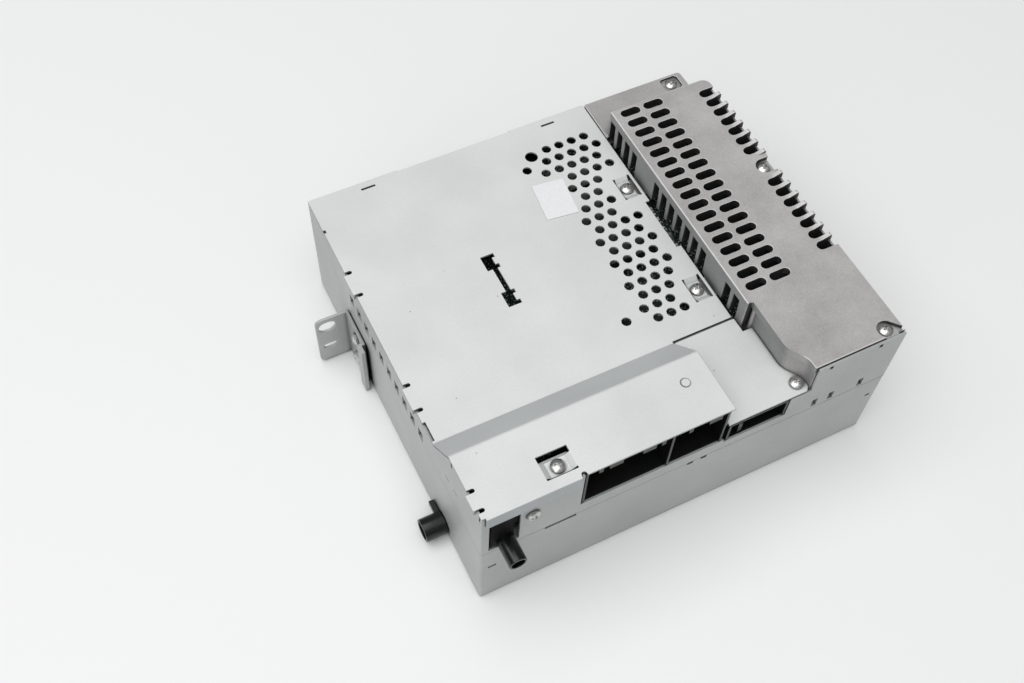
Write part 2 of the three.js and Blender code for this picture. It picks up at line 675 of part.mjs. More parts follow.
const CLAMP_PIVOT_Y = DRIVE_REAR + CLAMP_PIVOT_INSET;
const CLAMP_TAPER_Y = DISC_Y - CLAMP_TAPER_OFFSET;
const CLAMP_EAR_REACH = DRIVE_REAR + CLAMP_EAR_LENGTH;
const FLOOR_VENT_START = DISC_Y - FLOOR_VENT_OFFSET;
const JACK_WINDOW_TOP = TIER_TOP - JACK_WINDOW_DROP;
const REAR_BLOCK_TOP = JACK_WINDOW_TOP - REAR_BLOCK_GAP;
const REAR_SCREW_Z = TIER_TOP - REAR_SCREW_DROP;
const SINK_PANEL_TOP = TIER_TOP - SINK_PANEL_DROP;
const HOOK_SLOT_Z = SINK_PANEL_TOP - HOOK_SLOT_DROP;
const MAIN_HOUSING_TOP = TIER_TOP - COVER_SHEET - MAIN_HOUSING_GAP;
const WINDOW_TOP = TIER_TOP - WINDOW_DROP;
const BOSS_SEAT = TIER_TOP - BOSS_SEAT_DEPTH;
const CORNER_SEAT = TIER_TOP - CORNER_SEAT_DEPTH;
const LEDGE_SEAT = COVER_TOP - LEDGE_SEAT_DEPTH;
const INNER_FIN_BOTTOM = COVER_TOP + INNER_FIN_RISE;
const SINK_WALL_BOTTOM = COVER_TOP - SINK_WALL_DROP;
const MAIN_DIVIDER_X = MAIN_OPENING_LEFT + MAIN_DIVIDER_SHARE * (MAIN_OPENING_RIGHT - MAIN_OPENING_LEFT);
const NOTCH_FRONT_FIRST = BOSS_Y + NOTCH_AFTER_BOSS;
const PILL_COUNT = 1 + Math.floor((SINK_FRONT - SINK_WALL - PILL_FIRST) / PILL_PITCH);
const HOLE_ROWS = 1 + Math.floor((UNIT_DEPTH - HOLE_FRONT_MARGIN - HOLE_FIRST_ROW) / HOLE_ROW_PITCH);
const SIDE_SLOT_ROOM = UNIT_DEPTH - SIDE_SLOT_FRONT_MARGIN - SIDE_SLOT_FIRST;
const SIDE_SLOT_COUNT = 1 + Math.floor(SIDE_SLOT_ROOM / SIDE_SLOT_PITCH);
const BEVEL_ANGLE = Math.atan2(TIER_TOP - COVER_TOP, BEVEL_RUN);
const FRAME_BOTTOM = SEAM_HEIGHT + SEAT_GAP;
const SHELF_TOP = FRAME_BOTTOM + SHEET;
const COVER_UNDERSIDE = COVER_TOP - COVER_SHEET;
const BOARD_BOTTOM = SHELF_TOP + SEAT_GAP;
const SINK_SIDE_BOTTOM = SHELF_TOP + SEAT_GAP;
const BOARD_TOP = BOARD_BOTTOM + BOARD_THICK;
const BOARD_SEAT = BOARD_TOP + SEAT_GAP;
const AMPLIFIER_TALL = TIER_TOP - SINK_PLATE_THICK - AMPLIFIER_HEADROOM - BOARD_SEAT;
const CAPACITOR_TALL = AMPLIFIER_TALL;
const SHIELD_TALL = COVER_UNDERSIDE - SHIELD_HEADROOM - BOARD_SEAT;
const HEADER_TALL = SHIELD_TALL - HEADER_PIN_TALL;
const SMALL_HOUSING_TOP = COVER_UNDERSIDE - SMALL_HOUSING_GAP;
const BRACKET_INNER = -SEAT_GAP;
const BRACKET_OUTER = BRACKET_INNER - BRACKET_SHEET;
const DRIVE_FLOOR = DRIVE_BOTTOM + DRIVE_SHEET;
const GEAR_START = DRIVE_RIGHT + GEAR_OFFSET;
const GEAR_END = GEAR_START + GEAR_WIDTH;
const ROLLER_PITCH_RADIUS = (GEAR_MODULE * ROLLER_TEETH) / 2;
const IDLER_PITCH_RADIUS = (GEAR_MODULE * IDLER_TEETH) / 2;
const MOTOR_PITCH_RADIUS = (GEAR_MODULE * MOTOR_TEETH) / 2;
const IDLER_REACH = ROLLER_PITCH_RADIUS + IDLER_PITCH_RADIUS;
const MOTOR_REACH = IDLER_PITCH_RADIUS + MOTOR_PITCH_RADIUS;
const IDLER_Y = ROLLER_Y - IDLER_REACH * Math.cos(IDLER_SLOPE);
const IDLER_Z = ROLLER_Z - IDLER_REACH * Math.sin(IDLER_SLOPE);
const MOTOR_Y = IDLER_Y - MOTOR_REACH * Math.cos(MOTOR_SLOPE);
const MOTOR_Z = IDLER_Z - MOTOR_REACH * Math.sin(MOTOR_SLOPE);
const DECK_FRONT = MOTOR_Y - LOAD_MOTOR_RADIUS - DECK_MOTOR_GAP;
const ROD_END = DECK_RIGHT - SEAT_GAP;
const ROD_FRONT_Y = DISC_Y + ROD_SPREAD;
const ROD_REAR_Y = DISC_Y - ROD_SPREAD;

// Materials
const GALVANISED = { color: '#c9cccb', roughness: 0.42, metalness: 0.75 };
const CASTING = { color: '#aca9a7', roughness: 0.5, metalness: 0.7 };
const BRIGHT_STEEL = { color: '#d9dad8', roughness: 0.28, metalness: 0.9 };
const TIN = { color: '#b9bab4', roughness: 0.38, metalness: 0.8 };
const BLACK_PLASTIC = { color: '#131415', roughness: 0.45, metalness: 0 };
const GREY_PLASTIC = { color: '#55585a', roughness: 0.5, metalness: 0 };
const WHITE_PLASTIC = { color: '#d8d6cf', roughness: 0.5, metalness: 0 };
const GOLD_CONTACT = { color: '#b9964a', roughness: 0.3, metalness: 0.9 };
const BOARD_GREEN = { color: '#1d3b2b', roughness: 0.5, metalness: 0 };
const RUBBER = { color: '#1b1b1c', roughness: 0.8, metalness: 0 };
const PAPER = { color: '#eef0f2', roughness: 0.7, metalness: 0 };
const GLASS = { color: '#7d8fb0', roughness: 0.1, metalness: 0 };

// Shape helpers

// A closed manifold solid from a geometry, with its doubled points joined.
function solidOf(geometry) {
  const bare = geometry.clone();
  bare.deleteAttribute('normal');
  bare.deleteAttribute('uv');
  const merged = mergeVertices(bare, WELD);
  const corners = Array.from(merged.index.array);
  const kept = [];
  for (let at = 0; at < corners.length; at += 3) {
    const [a, b, c] = corners.slice(at, at + 3);
    if (a !== b && b !== c && c !== a) {
      kept.push(a, b, c);
    }
  }
  const mesh = new wasm.Mesh({
    numProp: 3,
    vertProperties: Float32Array.from(merged.attributes.position.array),
    triVerts: Uint32Array.from(kept),
  });
  return new wasm.Manifold(mesh);
}

function middle(span) {
  return (span[0] + span[1]) / 2;
}

function around(centre, length) {
  return [centre - length / 2, centre + length / 2];
}

function from(start, length) {
  return [start, start + length];
}

// A box between two X, two Y and two Z values.
function block(x, y, z) {
  const box = new THREE.BoxGeometry(x[1] - x[0], y[1] - y[0], z[1] - z[0]);
  box.translate(middle(x), middle(y), middle(z));
  return solidOf(box);
}

// Turns a shape built along Z so that its length runs along the named axis.
function layAlong(geometry, axis, start) {
  const turn = new THREE.Matrix4();
  if (axis === 'x') {
    turn.set(0, 0, 1, start, 1, 0, 0, 0, 0, 1, 0, 0, 0, 0, 0, 1);
  } else if (axis === 'y') {
    turn.set(1, 0, 0, 0, 0, 0, -1, start, 0, 1, 0, 0, 0, 0, 0, 1);
  } else {
    turn.set(1, 0, 0, 0, 0, 1, 0, 0, 0, 0, 1, start, 0, 0, 0, 1);
  }
  return geometry.applyMatrix4(turn);
}

// An outline carried along an axis. The outline is read as (Y, Z) for X, (X, Z) for Y, (X, Y) for Z.
function prism(outline, axis, span) {
  const shape = new THREE.Shape(outline.map(([u, v]) => new THREE.Vector2(u, v)));
  const body = new THREE.ExtrudeGeometry(shape, { depth: span[1] - span[0], bevelEnabled: false });
  const start = axis === 'y' ? span[1] : span[0];
  return solidOf(layAlong(body, axis, start));
}

function circle(centre, radius, segments) {
  const points = [];
  for (let step = 0; step < segments; step += 1) {
    const angle = (2 * Math.PI * step) / segments;
    points.push([centre[0] + radius * Math.cos(angle), centre[1] + radius * Math.sin(angle)]);
  }
  return points;
}

function rod(centre, radius, axis, span, segments) {
  return prism(circle(centre, radius, segments), axis, span);
}

// A straight slot with round ends, lying along its outline's first direction.
function pill(centre, length, width, segments) {
  const points = [];
  const reach = (length - width) / 2;
  for (let end = 0; end < 2; end += 1) {
    const side = end === 0 ? reach : -reach;
    for (let step = 0; step <= segments; step += 1) {
      const angle = Math.PI * (end + step / segments) - Math.PI / 2;
      const u = centre[0] + side + (width / 2) * Math.cos(angle);
      const v = centre[1] + (width / 2) * Math.sin(angle);
      points.push([u, v]);
    }
  }
  return points;
}

// A profile of (radius, length) pairs turned about X or Z, its lengths counted along that axis.
function turned(profile, centre, axis, segments) {
  const points = profile.map(([radius, along]) => new THREE.Vector2(radius, along));
  const body = new THREE.LatheGeometry(points, segments);
  if (axis === 'x') {
    body.rotateZ(-Math.PI / 2);
    body.translate(0, centre[0], centre[1]);
  } else {
    body.rotateX(Math.PI / 2);
    body.translate(centre[0], centre[1], 0);
  }
  return facingOut(solidOf(body), body);
}

// A profile listed the other way round gives faces that look inward, so it is turned over.
function facingOut(solid, geometry) {
  if (solid.volume() > 0) {
    return solid;
  }
  const mirrored = geometry.clone();
  const index = Array.from(mirrored.index.array);
  for (let at = 0; at < index.length; at += 3) {
    [index[at], index[at + 1]] = [index[at + 1], index[at]];
  }
  mirrored.setIndex(index);
  return solidOf(mirrored);
}

function joined(solids) {
  return solids.reduce((sum, solid) => sum.add(solid));
}

function cutBy(solid, tools) {
  return solid.subtract(joined(tools));
}

// The cover's side profile, moved inward square to its faces.
function profileInside(depth) {
  const shift = depth * Math.tan(BEVEL_ANGLE / 2);
  return {
    low: [TIER_DEPTH + BEVEL_RUN - shift, COVER_TOP - depth],
    high: [TIER_DEPTH - shift, TIER_TOP - depth],
  };
}

// Lower chassis

function lowerChassis() {
  const tray = block([0, UNIT_WIDTH], [0, UNIT_DEPTH], [0, SEAM_HEIGHT]);
  const hollow = block(
    [SHEET, UNIT_WIDTH - SHEET],
    [SHEET, UNIT_DEPTH + OVERCUT],
    [SHEET, SEAM_HEIGHT + OVERCUT],
  );
  const jackHole = rod(
    [LEFT_JACK_Y, LEFT_JACK_Z],
    LEFT_JACK_NECK + JACK_HOLE_GAP,
    'x',
    [-OVERCUT, SHEET + OVERCUT],
    JACK_SEGMENTS,
  );
  return cutBy(tray, [hollow, jackHole, ...bracketHoles(), ...rearSlits(), ...floorVents()]);
}

function bracketHoles() {
  return [BRACKET_SCREW_LOW, BRACKET_SCREW_HIGH].map((z) =>
    rod([BRACKET_SCREW_Y, z], BITE_RADIUS, 'x', [-OVERCUT, SHEET + OVERCUT], SCREW_SEGMENTS),
  );
}

function rearSlits() {
  const through = [-OVERCUT, SHEET + OVERCUT];
  const seamCut = [SEAM_HEIGHT - CHASSIS_SLIT_HEIGHT, SEAM_HEIGHT + OVERCUT];
  return [
    block(from(LEFT_SLIT_START, LEFT_SLIT_LENGTH), through, around(LEFT_SLIT_HEIGHT, CHASSIS_SLIT_HEIGHT)),
    block(from(RIGHT_SLIT_START, RIGHT_SLIT_LENGTH), through, around(RIGHT_SLIT_HEIGHT, CHASSIS_SLIT_HEIGHT)),
    block(from(SEAM_SLIT_START, SEAM_SLIT_LENGTH), through, seamCut),
    block(from(SEAM_NOTCH_FIRST, SEAM_NOTCH_LENGTH), through, seamCut),
    block(from(SEAM_NOTCH_SECOND, SEAM_NOTCH_LENGTH), through, seamCut),
  ];
}

function floorVents() {
  const vents = [];
  for (let row = 0; row < FLOOR_VENT_COUNT; row += 1) {
    const y = FLOOR_VENT_START + row * FLOOR_VENT_PITCH;
    vents.push(
      block(around(DISC_X, FLOOR_VENT_LENGTH), around(y, FLOOR_VENT_WIDTH), [-OVERCUT, SHEET + OVERCUT]),
    );
  }
  return vents;
}

// Upper frame

function upperFrame() {
  const walls = joined([leftWall(), rearWall(), shelf(), ...screwTabs()]);
  return cutBy(walls, [...sideSlots(), ...rearPanelCuts(), ...tabHoles()]);
}

// Tabs bent forward from the rear wall, which two of the top screws bite into.
function screwTabs() {
  const tierLevel = TIER_TOP - BRIDGE_DROP - COVER_SHEET - SEAT_GAP;
  const plateLevel = COVER_UNDERSIDE - SEAT_GAP;
  return [
    block(from(TIER_WINDOW_LEFT, TIER_WINDOW_LENGTH), [0, TIER_TAB_DEPTH], [tierLevel - SHEET, tierLevel]),
    block([PLATE_TAB_LEFT, PLATE_TAB_RIGHT], [0, PLATE_TAB_DEPTH], [plateLevel - SHEET, plateLevel]),
  ];
}

function tabHoles() {
  return [
    rod(tierScrewPlace(), BITE_RADIUS, 'z', [TIER_TOP - EDGE_TAB_TALL, TIER_TOP], SCREW_SEGMENTS),
    rod(
      [PLATE_SCREW_X, PLATE_SCREW_Y],
      BITE_RADIUS,
      'z',
      [COVER_TOP - EDGE_TAB_TALL, COVER_TOP],
      SCREW_SEGMENTS,
    ),
  ];
}

function leftWall() {
  const line = profileInside(COVER_SHEET + SEAT_GAP);
  const outline = [
    [0, FRAME_BOTTOM],
    [UNIT_DEPTH, FRAME_BOTTOM],
    [UNIT_DEPTH, line.low[1]],
    line.low,
    line.high,
    [0, line.high[1]],
  ];
  return prism(outline, 'x', [0, SHEET]);
}

function rearWall() {
  const tierTop = TIER_TOP - COVER_SHEET - SEAT_GAP;
  const plateTop = COVER_UNDERSIDE - SEAT_GAP;
  const outline = [
    [0, FRAME_BOTTOM],
    [UNIT_WIDTH, FRAME_BOTTOM],
    [UNIT_WIDTH, SINK_PANEL_TOP],
    [SINK_PANEL_LEFT, SINK_PANEL_TOP],
    [SINK_PANEL_LEFT, plateTop],
    [SMALL_OPENING_RIGHT, plateTop],
    [SMALL_OPENING_RIGHT, SMALL_OPENING_BOTTOM],
    [MAIN_OPENING_RIGHT, SMALL_OPENING_BOTTOM],
    [MAIN_OPENING_RIGHT, MAIN_OPENING_BOTTOM],
    [MAIN_OPENING_LEFT, MAIN_OPENING_BOTTOM],
    [MAIN_OPENING_LEFT, tierTop],
    [0, tierTop],
  ];
  return prism(outline, 'y', [0, SHEET]);
}

function shelf() {
  const level = [SHELF_TOP - SHEET, SHELF_TOP];
  return joined([
    block([0, SHEET + SHELF_WIDTH], [0, FRONT_SHELF_END], level),
    block([0, UNIT_WIDTH], [0, SHEET + SHELF_WIDTH], level),
    block([RIGHT_SHELF_START, UNIT_WIDTH], [0, FRONT_SHELF_END], level),
    block([0, UNIT_WIDTH], [FRONT_SHELF_END - SHELF_WIDTH, FRONT_SHELF_END], level),
  ]);
}

function sideSlots() {
  const through = [-OVERCUT, SHEET + OVERCUT];
  const slots = [];
  for (let place = 0; place < SIDE_SLOT_COUNT; place += 1) {
    const y = SIDE_SLOT_FIRST + place * SIDE_SLOT_PITCH;
    slots.push(
      block(through, around(y, SIDE_SLOT_WIDTH), from(SIDE_SLOT_BOTTOM, SIDE_SLOT_TALL)),
    );
  }
  slots.push(
    block(through, around(SIDE_SLIT_ONE_Y, SIDE_SLIT_LENGTH), around(SIDE_SLIT_ONE_Z, SIDE_SLIT_HEIGHT)),
    block(through, around(SIDE_SLIT_TWO_Y, SIDE_SLIT_LENGTH), around(SIDE_SLIT_TWO_Z, SIDE_SLIT_HEIGHT)),
    block(through, around(TIER_SLIT_Y, SIDE_SLIT_HEIGHT), [TIER_SLIT_BOTTOM, TIER_TOP]),
    block(through, around(CORNER_SLIT_Y, SIDE_SLIT_HEIGHT), [CORNER_SLIT_BOTTOM, TIER_TOP]),
  );
  return slots;
}

function rearPanelCuts() {
  const through = [-OVERCUT, SHEET + OVERCUT];
  const latches = [LATCH_SLOT_ONE, LATCH_SLOT_TWO, LATCH_SLOT_THREE].map((x) =>
    block(around(x, LATCH_SLOT_WIDTH), through, from(LATCH_SLOT_BOTTOM, LATCH_SLOT_TALL)),
  );
  const hooks = [HOOK_SLOT_ONE, HOOK_SLOT_TWO].map((x) =>
    block(around(x, HOOK_SLOT_WIDTH), through, from(HOOK_SLOT_Z, HOOK_SLOT_TALL)),
  );
  const window = block(
    from(JACK_WINDOW_LEFT, JACK_WINDOW_WIDTH),
    through,
    [JACK_WINDOW_BOTTOM, JACK_WINDOW_TOP],
  );
  const screwHole = rod([REAR_SCREW_X, REAR_SCREW_Z], SCREW_HOLE_RADIUS, 'y', through, SCREW_SEGMENTS);
  return [window, screwHole, ...latches, ...hooks];
}

// Top cover

function topCover() {
  const sheet = joined([coverProfile(), coverFlat(), coverLip(), coverFlange(), coverCheek(), ...edgeTabs()]);
  const cuts = [...coverNotches(), ...bridgeWindows(), ...lancedSlot(), ...perforations()];
  const bridged = joined([cutBy(sheet, cuts), ...bridges()]);
  return cutBy(bridged, coverScrewHoles());
}

function coverProfile() {
  const outer = profileInside(0);
  const inner = profileInside(COVER_SHEET);
  const outline = [
    [0, inner.high[1]],
    inner.high,
    inner.low,
    [UNIT_DEPTH, inner.low[1]],
    [UNIT_DEPTH, outer.low[1]],
    outer.low,
    outer.high,
    [0, outer.high[1]],
  ];
  return prism(outline, 'x', [0, TIER_WIDTH]);
}

function coverFlat() {
  const level = [COVER_UNDERSIDE, COVER_TOP];
  const plate = block([0, COVER_WIDTH], [COVER_REAR_EDGE, UNIT_DEPTH], level);
  return plate;
}

function coverLip() {
  return block([LIP_LEFT, TIER_WIDTH], [-LIP_REACH, SHEET], [TIER_TOP - COVER_SHEET, TIER_TOP]);
}

function coverFlange() {
  const outer = -SEAT_GAP - COVER_SHEET;
  const span = [FLANGE_LEFT, FLANGE_RIGHT];
  return joined([
    block(span, [outer, SHEET], [TIER_TOP - COVER_SHEET, TIER_TOP]),
    block(span, [outer, -SEAT_GAP], [TIER_TOP - FLANGE_TALL, TIER_TOP]),
  ]);
}

function coverCheek() {
  const line = profileInside(COVER_SHEET / 2);
  const outline = [[SHEET, line.low[1]], line.low, line.high, [SHEET, line.high[1]]];
  return prism(outline, 'x', [TIER_WIDTH - COVER_SHEET, TIER_WIDTH]);
}

function tabPlaces() {
  return [
    [EDGE_TAB_FRONT, COVER_TOP, EDGE_TAB_WIDTH],
    [EDGE_TAB_MIDDLE, COVER_TOP, EDGE_TAB_WIDTH],
    [EDGE_TAB_REAR, TIER_TOP, REAR_TAB_WIDTH],
  ];
}

function edgeTabs() {
  const outer = -SEAT_GAP - COVER_SHEET;
  return tabPlaces().flatMap(([y, top, width]) => [
    block([outer, SHEET], around(y, width), [top - COVER_SHEET, top]),
    block([outer, -SEAT_GAP], around(y, width), [top - EDGE_TAB_DROP, top]),
  ]);
}

function coverNotches() {
  const down = (top) => [top - COVER_SHEET - OVERCUT, top + OVERCUT];
  const reliefs = tabPlaces().flatMap(([y, top, width]) => {
    const reach = (width + RELIEF_WIDTH) / 2;
    return [y - reach, y + reach].flatMap((side) => [
      block([-OVERCUT, RELIEF_DEPTH], around(side, RELIEF_WIDTH), down(top)),
      rod([RELIEF_DEPTH, side], RELIEF_WIDTH / 2, 'z', down(top), SCREW_SEGMENTS),
    ]);
  });
  const lipRelief = rod(
    [LIP_LEFT - LIP_RELIEF_INSET, LIP_RELIEF_Y],
    LIP_RELIEF_RADIUS,
    'z',
    down(TIER_TOP),
    SCREW_SEGMENTS,
  );
  const single = block([-OVERCUT, RELIEF_DEPTH / 2], around(SINGLE_RELIEF_Y, RELIEF_WIDTH), down(COVER_TOP));
  const recess = block(
    [-OVERCUT, SIDE_RECESS_DEPTH],
    from(SIDE_RECESS_START, SIDE_RECESS_LENGTH),
    down(COVER_TOP),
  );
  const frontStep = block(
    [FRONT_STEP_LEFT, FRONT_STEP_RIGHT],
    [UNIT_DEPTH - FRONT_STEP_DEPTH, UNIT_DEPTH + OVERCUT],
    down(COVER_TOP),
  );
  const slitWidth = around(FRONT_SLIT_Y, FRONT_SLIT_WIDTH);
  const cutout = block(
    [CUTOUT_LEFT, COVER_WIDTH + OVERCUT],
    from(CUTOUT_START, CUTOUT_LENGTH),
    down(COVER_TOP),
  );
  return [
    ...reliefs,
    lipRelief,
    single,
    recess,
    frontStep,
    cutout,
    block(from(FRONT_SLIT_LEFT, FRONT_SLIT_LENGTH), slitWidth, down(COVER_TOP)),
    block(from(FRONT_SLIT_RIGHT, FRONT_SLIT_LENGTH), slitWidth, down(COVER_TOP)),
  ];
}

function bridgeWindows() {
  const depth = COVER_SHEET + OVERCUT;
  const sideways = from(BRIDGE_WINDOW_LEFT, BRIDGE_WINDOW_WIDTH);
  const low = [COVER_TOP - depth, COVER_TOP + OVERCUT];
  const high = [TIER_TOP - depth, TIER_TOP + OVERCUT];
  return [
    block(sideways, around(BRIDGE_FRONT_Y, BRIDGE_WINDOW_LENGTH), low),
    block(sideways, around(BRIDGE_REAR_Y, BRIDGE_WINDOW_LENGTH), low),
    block(
      from(TIER_WINDOW_LEFT, TIER_WINDOW_LENGTH),
      from(TIER_WINDOW_REAR, TIER_WINDOW_WIDTH),
      high,
    ),
  ];
}

// A strip that dips below the sheet between two ramps, as an outline of (length, height) points.
function bridgeOutline(start, length, top) {
  const end = start + length;
  const bed = top - BRIDGE_DROP;
  const under = top - COVER_SHEET;
  const underBed = bed - COVER_SHEET;
  return [
    [start - COVER_SHEET, top],
    [start - COVER_SHEET, under],
    [start, under],
    [start + BRIDGE_RAMP, underBed],
    [end - BRIDGE_RAMP, underBed],
    [end, under],
    [end + COVER_SHEET, under],
    [end + COVER_SHEET, top],
    [end, top],
    [end - BRIDGE_RAMP, bed],
    [start + BRIDGE_RAMP, bed],
    [start, top],
  ];
}

function bridges() {
  const across = from(BRIDGE_WINDOW_LEFT + BRIDGE_MARGIN, BRIDGE_WINDOW_WIDTH - 2 * BRIDGE_MARGIN);
  const alongFront = BRIDGE_FRONT_Y - BRIDGE_WINDOW_LENGTH / 2;
  const alongRear = BRIDGE_REAR_Y - BRIDGE_WINDOW_LENGTH / 2;
  return [
    prism(bridgeOutline(alongFront, BRIDGE_WINDOW_LENGTH, COVER_TOP), 'x', across),
    prism(bridgeOutline(alongRear, BRIDGE_WINDOW_LENGTH, COVER_TOP), 'x', across),
    prism(
      bridgeOutline(TIER_WINDOW_LEFT, TIER_WINDOW_LENGTH, TIER_TOP),
      'y',
      from(TIER_BRIDGE_START, TIER_BRIDGE_WIDTH),
    ),
  ];
}

function bridgeScrewX() {
  return BRIDGE_WINDOW_LEFT + BRIDGE_WINDOW_WIDTH / 2;
}

function tierScrewPlace() {
  return [TIER_WINDOW_LEFT + TIER_WINDOW_LENGTH / 2, TIER_BRIDGE_START + TIER_BRIDGE_WIDTH / 2];
}

function coverScrewHoles() {
  const lowSpan = [COVER_TOP - EDGE_TAB_TALL, COVER_TOP];
  const highSpan = [TIER_TOP - EDGE_TAB_TALL, TIER_TOP];
  return [
    rod([bridgeScrewX(), BRIDGE_FRONT_Y], SCREW_HOLE_RADIUS, 'z', lowSpan, SCREW_SEGMENTS),
    rod([bridgeScrewX(), BRIDGE_REAR_Y], SCREW_HOLE_RADIUS, 'z', lowSpan, SCREW_SEGMENTS),
    rod(tierScrewPlace(), SCREW_HOLE_RADIUS, 'z', highSpan, SCREW_SEGMENTS),
  ];
}

function lancedSlot() {
  const down = [COVER_UNDERSIDE - OVERCUT, COVER_TOP + OVERCUT];
  const hook = (start) => block([LANCE_BAR_LEFT, LANCE_RIGHT], from(start, LANCE_HOOK_LENGTH), down);
  return [
    block([LANCE_BAR_LEFT, LANCE_BAR_RIGHT], [LANCE_REAR, LANCE_FRONT], down),
    block([LANCE_LEFT, LANCE_BAR_RIGHT], from(LANCE_REAR, LANCE_PAD_LENGTH), down),
    block([LANCE_LEFT, LANCE_BAR_RIGHT], from(LANCE_FRONT - LANCE_PAD_LENGTH, LANCE_PAD_LENGTH), down),
    hook(LANCE_REAR),
    hook(LANCE_REAR + LANCE_PAD_LENGTH - LANCE_HOOK_LENGTH),
    hook(LANCE_FRONT - LANCE_HOOK_LENGTH),
    hook(LANCE_FRONT - LANCE_PAD_LENGTH),
  ];
}

// Round holes in staggered rows. The rows stop short of the screw bridges and of the label.
function perforations() {
  const down = [COVER_UNDERSIDE - OVERCUT, COVER_TOP + OVERCUT];
  const holes = [];
  for (let row = 0; row < HOLE_ROWS; row += 1) {
    const y = HOLE_FIRST_ROW + row * HOLE_ROW_PITCH;
    const shift = row % 2 === 0 ? 0 : -HOLE_PITCH / 2;
    for (let column = 0; column < HOLE_COLUMNS; column += 1) {
      const x = HOLE_FIRST_COLUMN + shift + column * HOLE_PITCH;
      if (x <= rightLimit(y) && !underLabel(x, y)) {
        holes.push(rod([x, y], HOLE_RADIUS, 'z', down, HOLE_SEGMENTS));
      }
    }
  }
  const singles = [
    [COVER_WIDTH - SINGLE_HOLE_FRONT_X, UNIT_DEPTH - SINGLE_HOLE_FRONT_Y],
    [COVER_WIDTH - SINGLE_HOLE_LABEL_X, UNIT_DEPTH - SINGLE_HOLE_LABEL_Y],
    [COVER_WIDTH - SINGLE_HOLE_REAR_X, SINGLE_HOLE_REAR_Y],
  ];
  for (const place of singles) {
    holes.push(rod(place, HOLE_RADIUS, 'z', down, HOLE_SEGMENTS));
  }
  holes.push(rod([LARGE_HOLE_X, LARGE_HOLE_Y], LARGE_HOLE_RADIUS, 'z', down, POCKET_SEGMENTS));
  return holes;
}

function rightLimit(y) {
  const nearScrew = [BRIDGE_FRONT_Y, BRIDGE_REAR_Y].some(
    (screw) => Math.abs(y - screw) < HOLE_SCREW_CLEARANCE,
  );
  if (nearScrew) {
    return HOLE_NARROW_LIMIT;
  }
  return y > HOLE_WIDE_FROM ? HOLE_WIDE_LIMIT : HOLE_RIGHT_LIMIT;
}

function underLabel(x, y) {
  const sideways = Math.abs(x - LABEL_X) < LABEL_WIDTH / 2;
  return sideways && Math.abs(y - LABEL_Y) < LABEL_LENGTH / 2;
}

function label() {
  const paper = new THREE.BoxGeometry(LABEL_WIDTH, LABEL_LENGTH, LABEL_THICK);
  paper.rotateZ(LABEL_TURN);
  paper.translate(LABEL_X, LABEL_Y, COVER_TOP + LABEL_GAP + LABEL_THICK / 2);
  return solidOf(paper);
}

// Right rear plate

// Points of the S-shaped curve from the front towards the rear, moved sideways by a distance.
function curvePoints(sideways) {
  const points = [];
  for (let step = 0; step <= CURVE_STEPS; step += 1) {
    const share = step / CURVE_STEPS;
    const swing = (1 - Math.cos(Math.PI * share)) / 2;
    const x = CURVE_NEAR_X + (CURVE_FAR_X - CURVE_NEAR_X) * swing;
    const y = CURVE_FRONT_Y + (CURVE_REAR_Y - CURVE_FRONT_Y) * share;
    points.push([x + sideways, y]);
  }
  return points;
}

function rightPlate() {
  const curve = curvePoints(-CURVE_GAP);
  const outline = [
    [PLATE_LEFT, PLATE_FRONT],
    [PLATE_LEFT, PLATE_REAR],
    [CURVE_FAR_X - CURVE_GAP - PLATE_CORNER, PLATE_REAR],
    [CURVE_FAR_X - CURVE_GAP, PLATE_REAR + PLATE_CORNER],
    ...curve.reverse(),
    [CURVE_NEAR_X - CURVE_GAP, PLATE_SHOULDER_Y],
    [PLATE_SHOULDER_X, PLATE_SHOULDER_Y],
    [PLATE_SHOULDER_X, PLATE_FRONT],
  ];
  const bed = COVER_UNDERSIDE - PLATE_STEP_DROP;
  const riser = block(
    [PLATE_LEFT, PLATE_SHOULDER_X],
    [PLATE_FRONT - COVER_SHEET, PLATE_FRONT],
    [bed, COVER_TOP],
  );
  const strip = block(
    [PLATE_LEFT, COVER_WIDTH],
    [PLATE_FRONT - COVER_SHEET, PLATE_STRIP_FRONT],
    from(bed, COVER_SHEET),
  );
  const plate = joined([prism(outline, 'z', [COVER_UNDERSIDE, COVER_TOP]), riser, strip]);
  const hole = rod(
    [PLATE_SCREW_X, PLATE_SCREW_Y],
    SCREW_HOLE_RADIUS,
    'z',
    [COVER_UNDERSIDE - OVERCUT, COVER_TOP + OVERCUT],
    SCREW_SEGMENTS,
  );
  return cutBy(plate, [hole]);
}

// Heat sink

function heatSink() {
  const casting = joined([
    sinkTop(),
    sinkLeftWall(),
    sinkCurvedWall(),
    sinkLug(),
    sinkSide(),
    sinkFrontWall(),
    sinkLedge(),
    ...innerFins(),
    ...finTips(),
    ...coverLugs(),
  ]);
  return cutBy(casting, [
    ...lugHoles(),
    ...sinkPills(),
    ...sideWindows(),
    ...rimNotches(),
    ...screwPockets(),
    cornerShaving(SINK_FRONT, SINK_CORNER, [COVER_TOP, TIER_TOP + OVERCUT]),
    cornerShaving(LEDGE_FRONT, LEDGE_CORNER, [SINK_SIDE_BOTTOM - OVERCUT, COVER_TOP + OVERCUT]),
    rearHollow(),
  ]);
}

// What is cut from a right-hand corner to round it.
function cornerShaving(front, radius, heights) {
  const sides = [SINK_RIGHT - radius, SINK_RIGHT + OVERCUT];
  const square = block(sides, [front - radius, front + OVERCUT], heights);
  const through = [heights[0] - OVERCUT, heights[1] + OVERCUT];
  const round = rod([sides[0], front - radius], radius, 'z', through, SINK_CORNER_SEGMENTS);
  return cutBy(square, [round]);
}

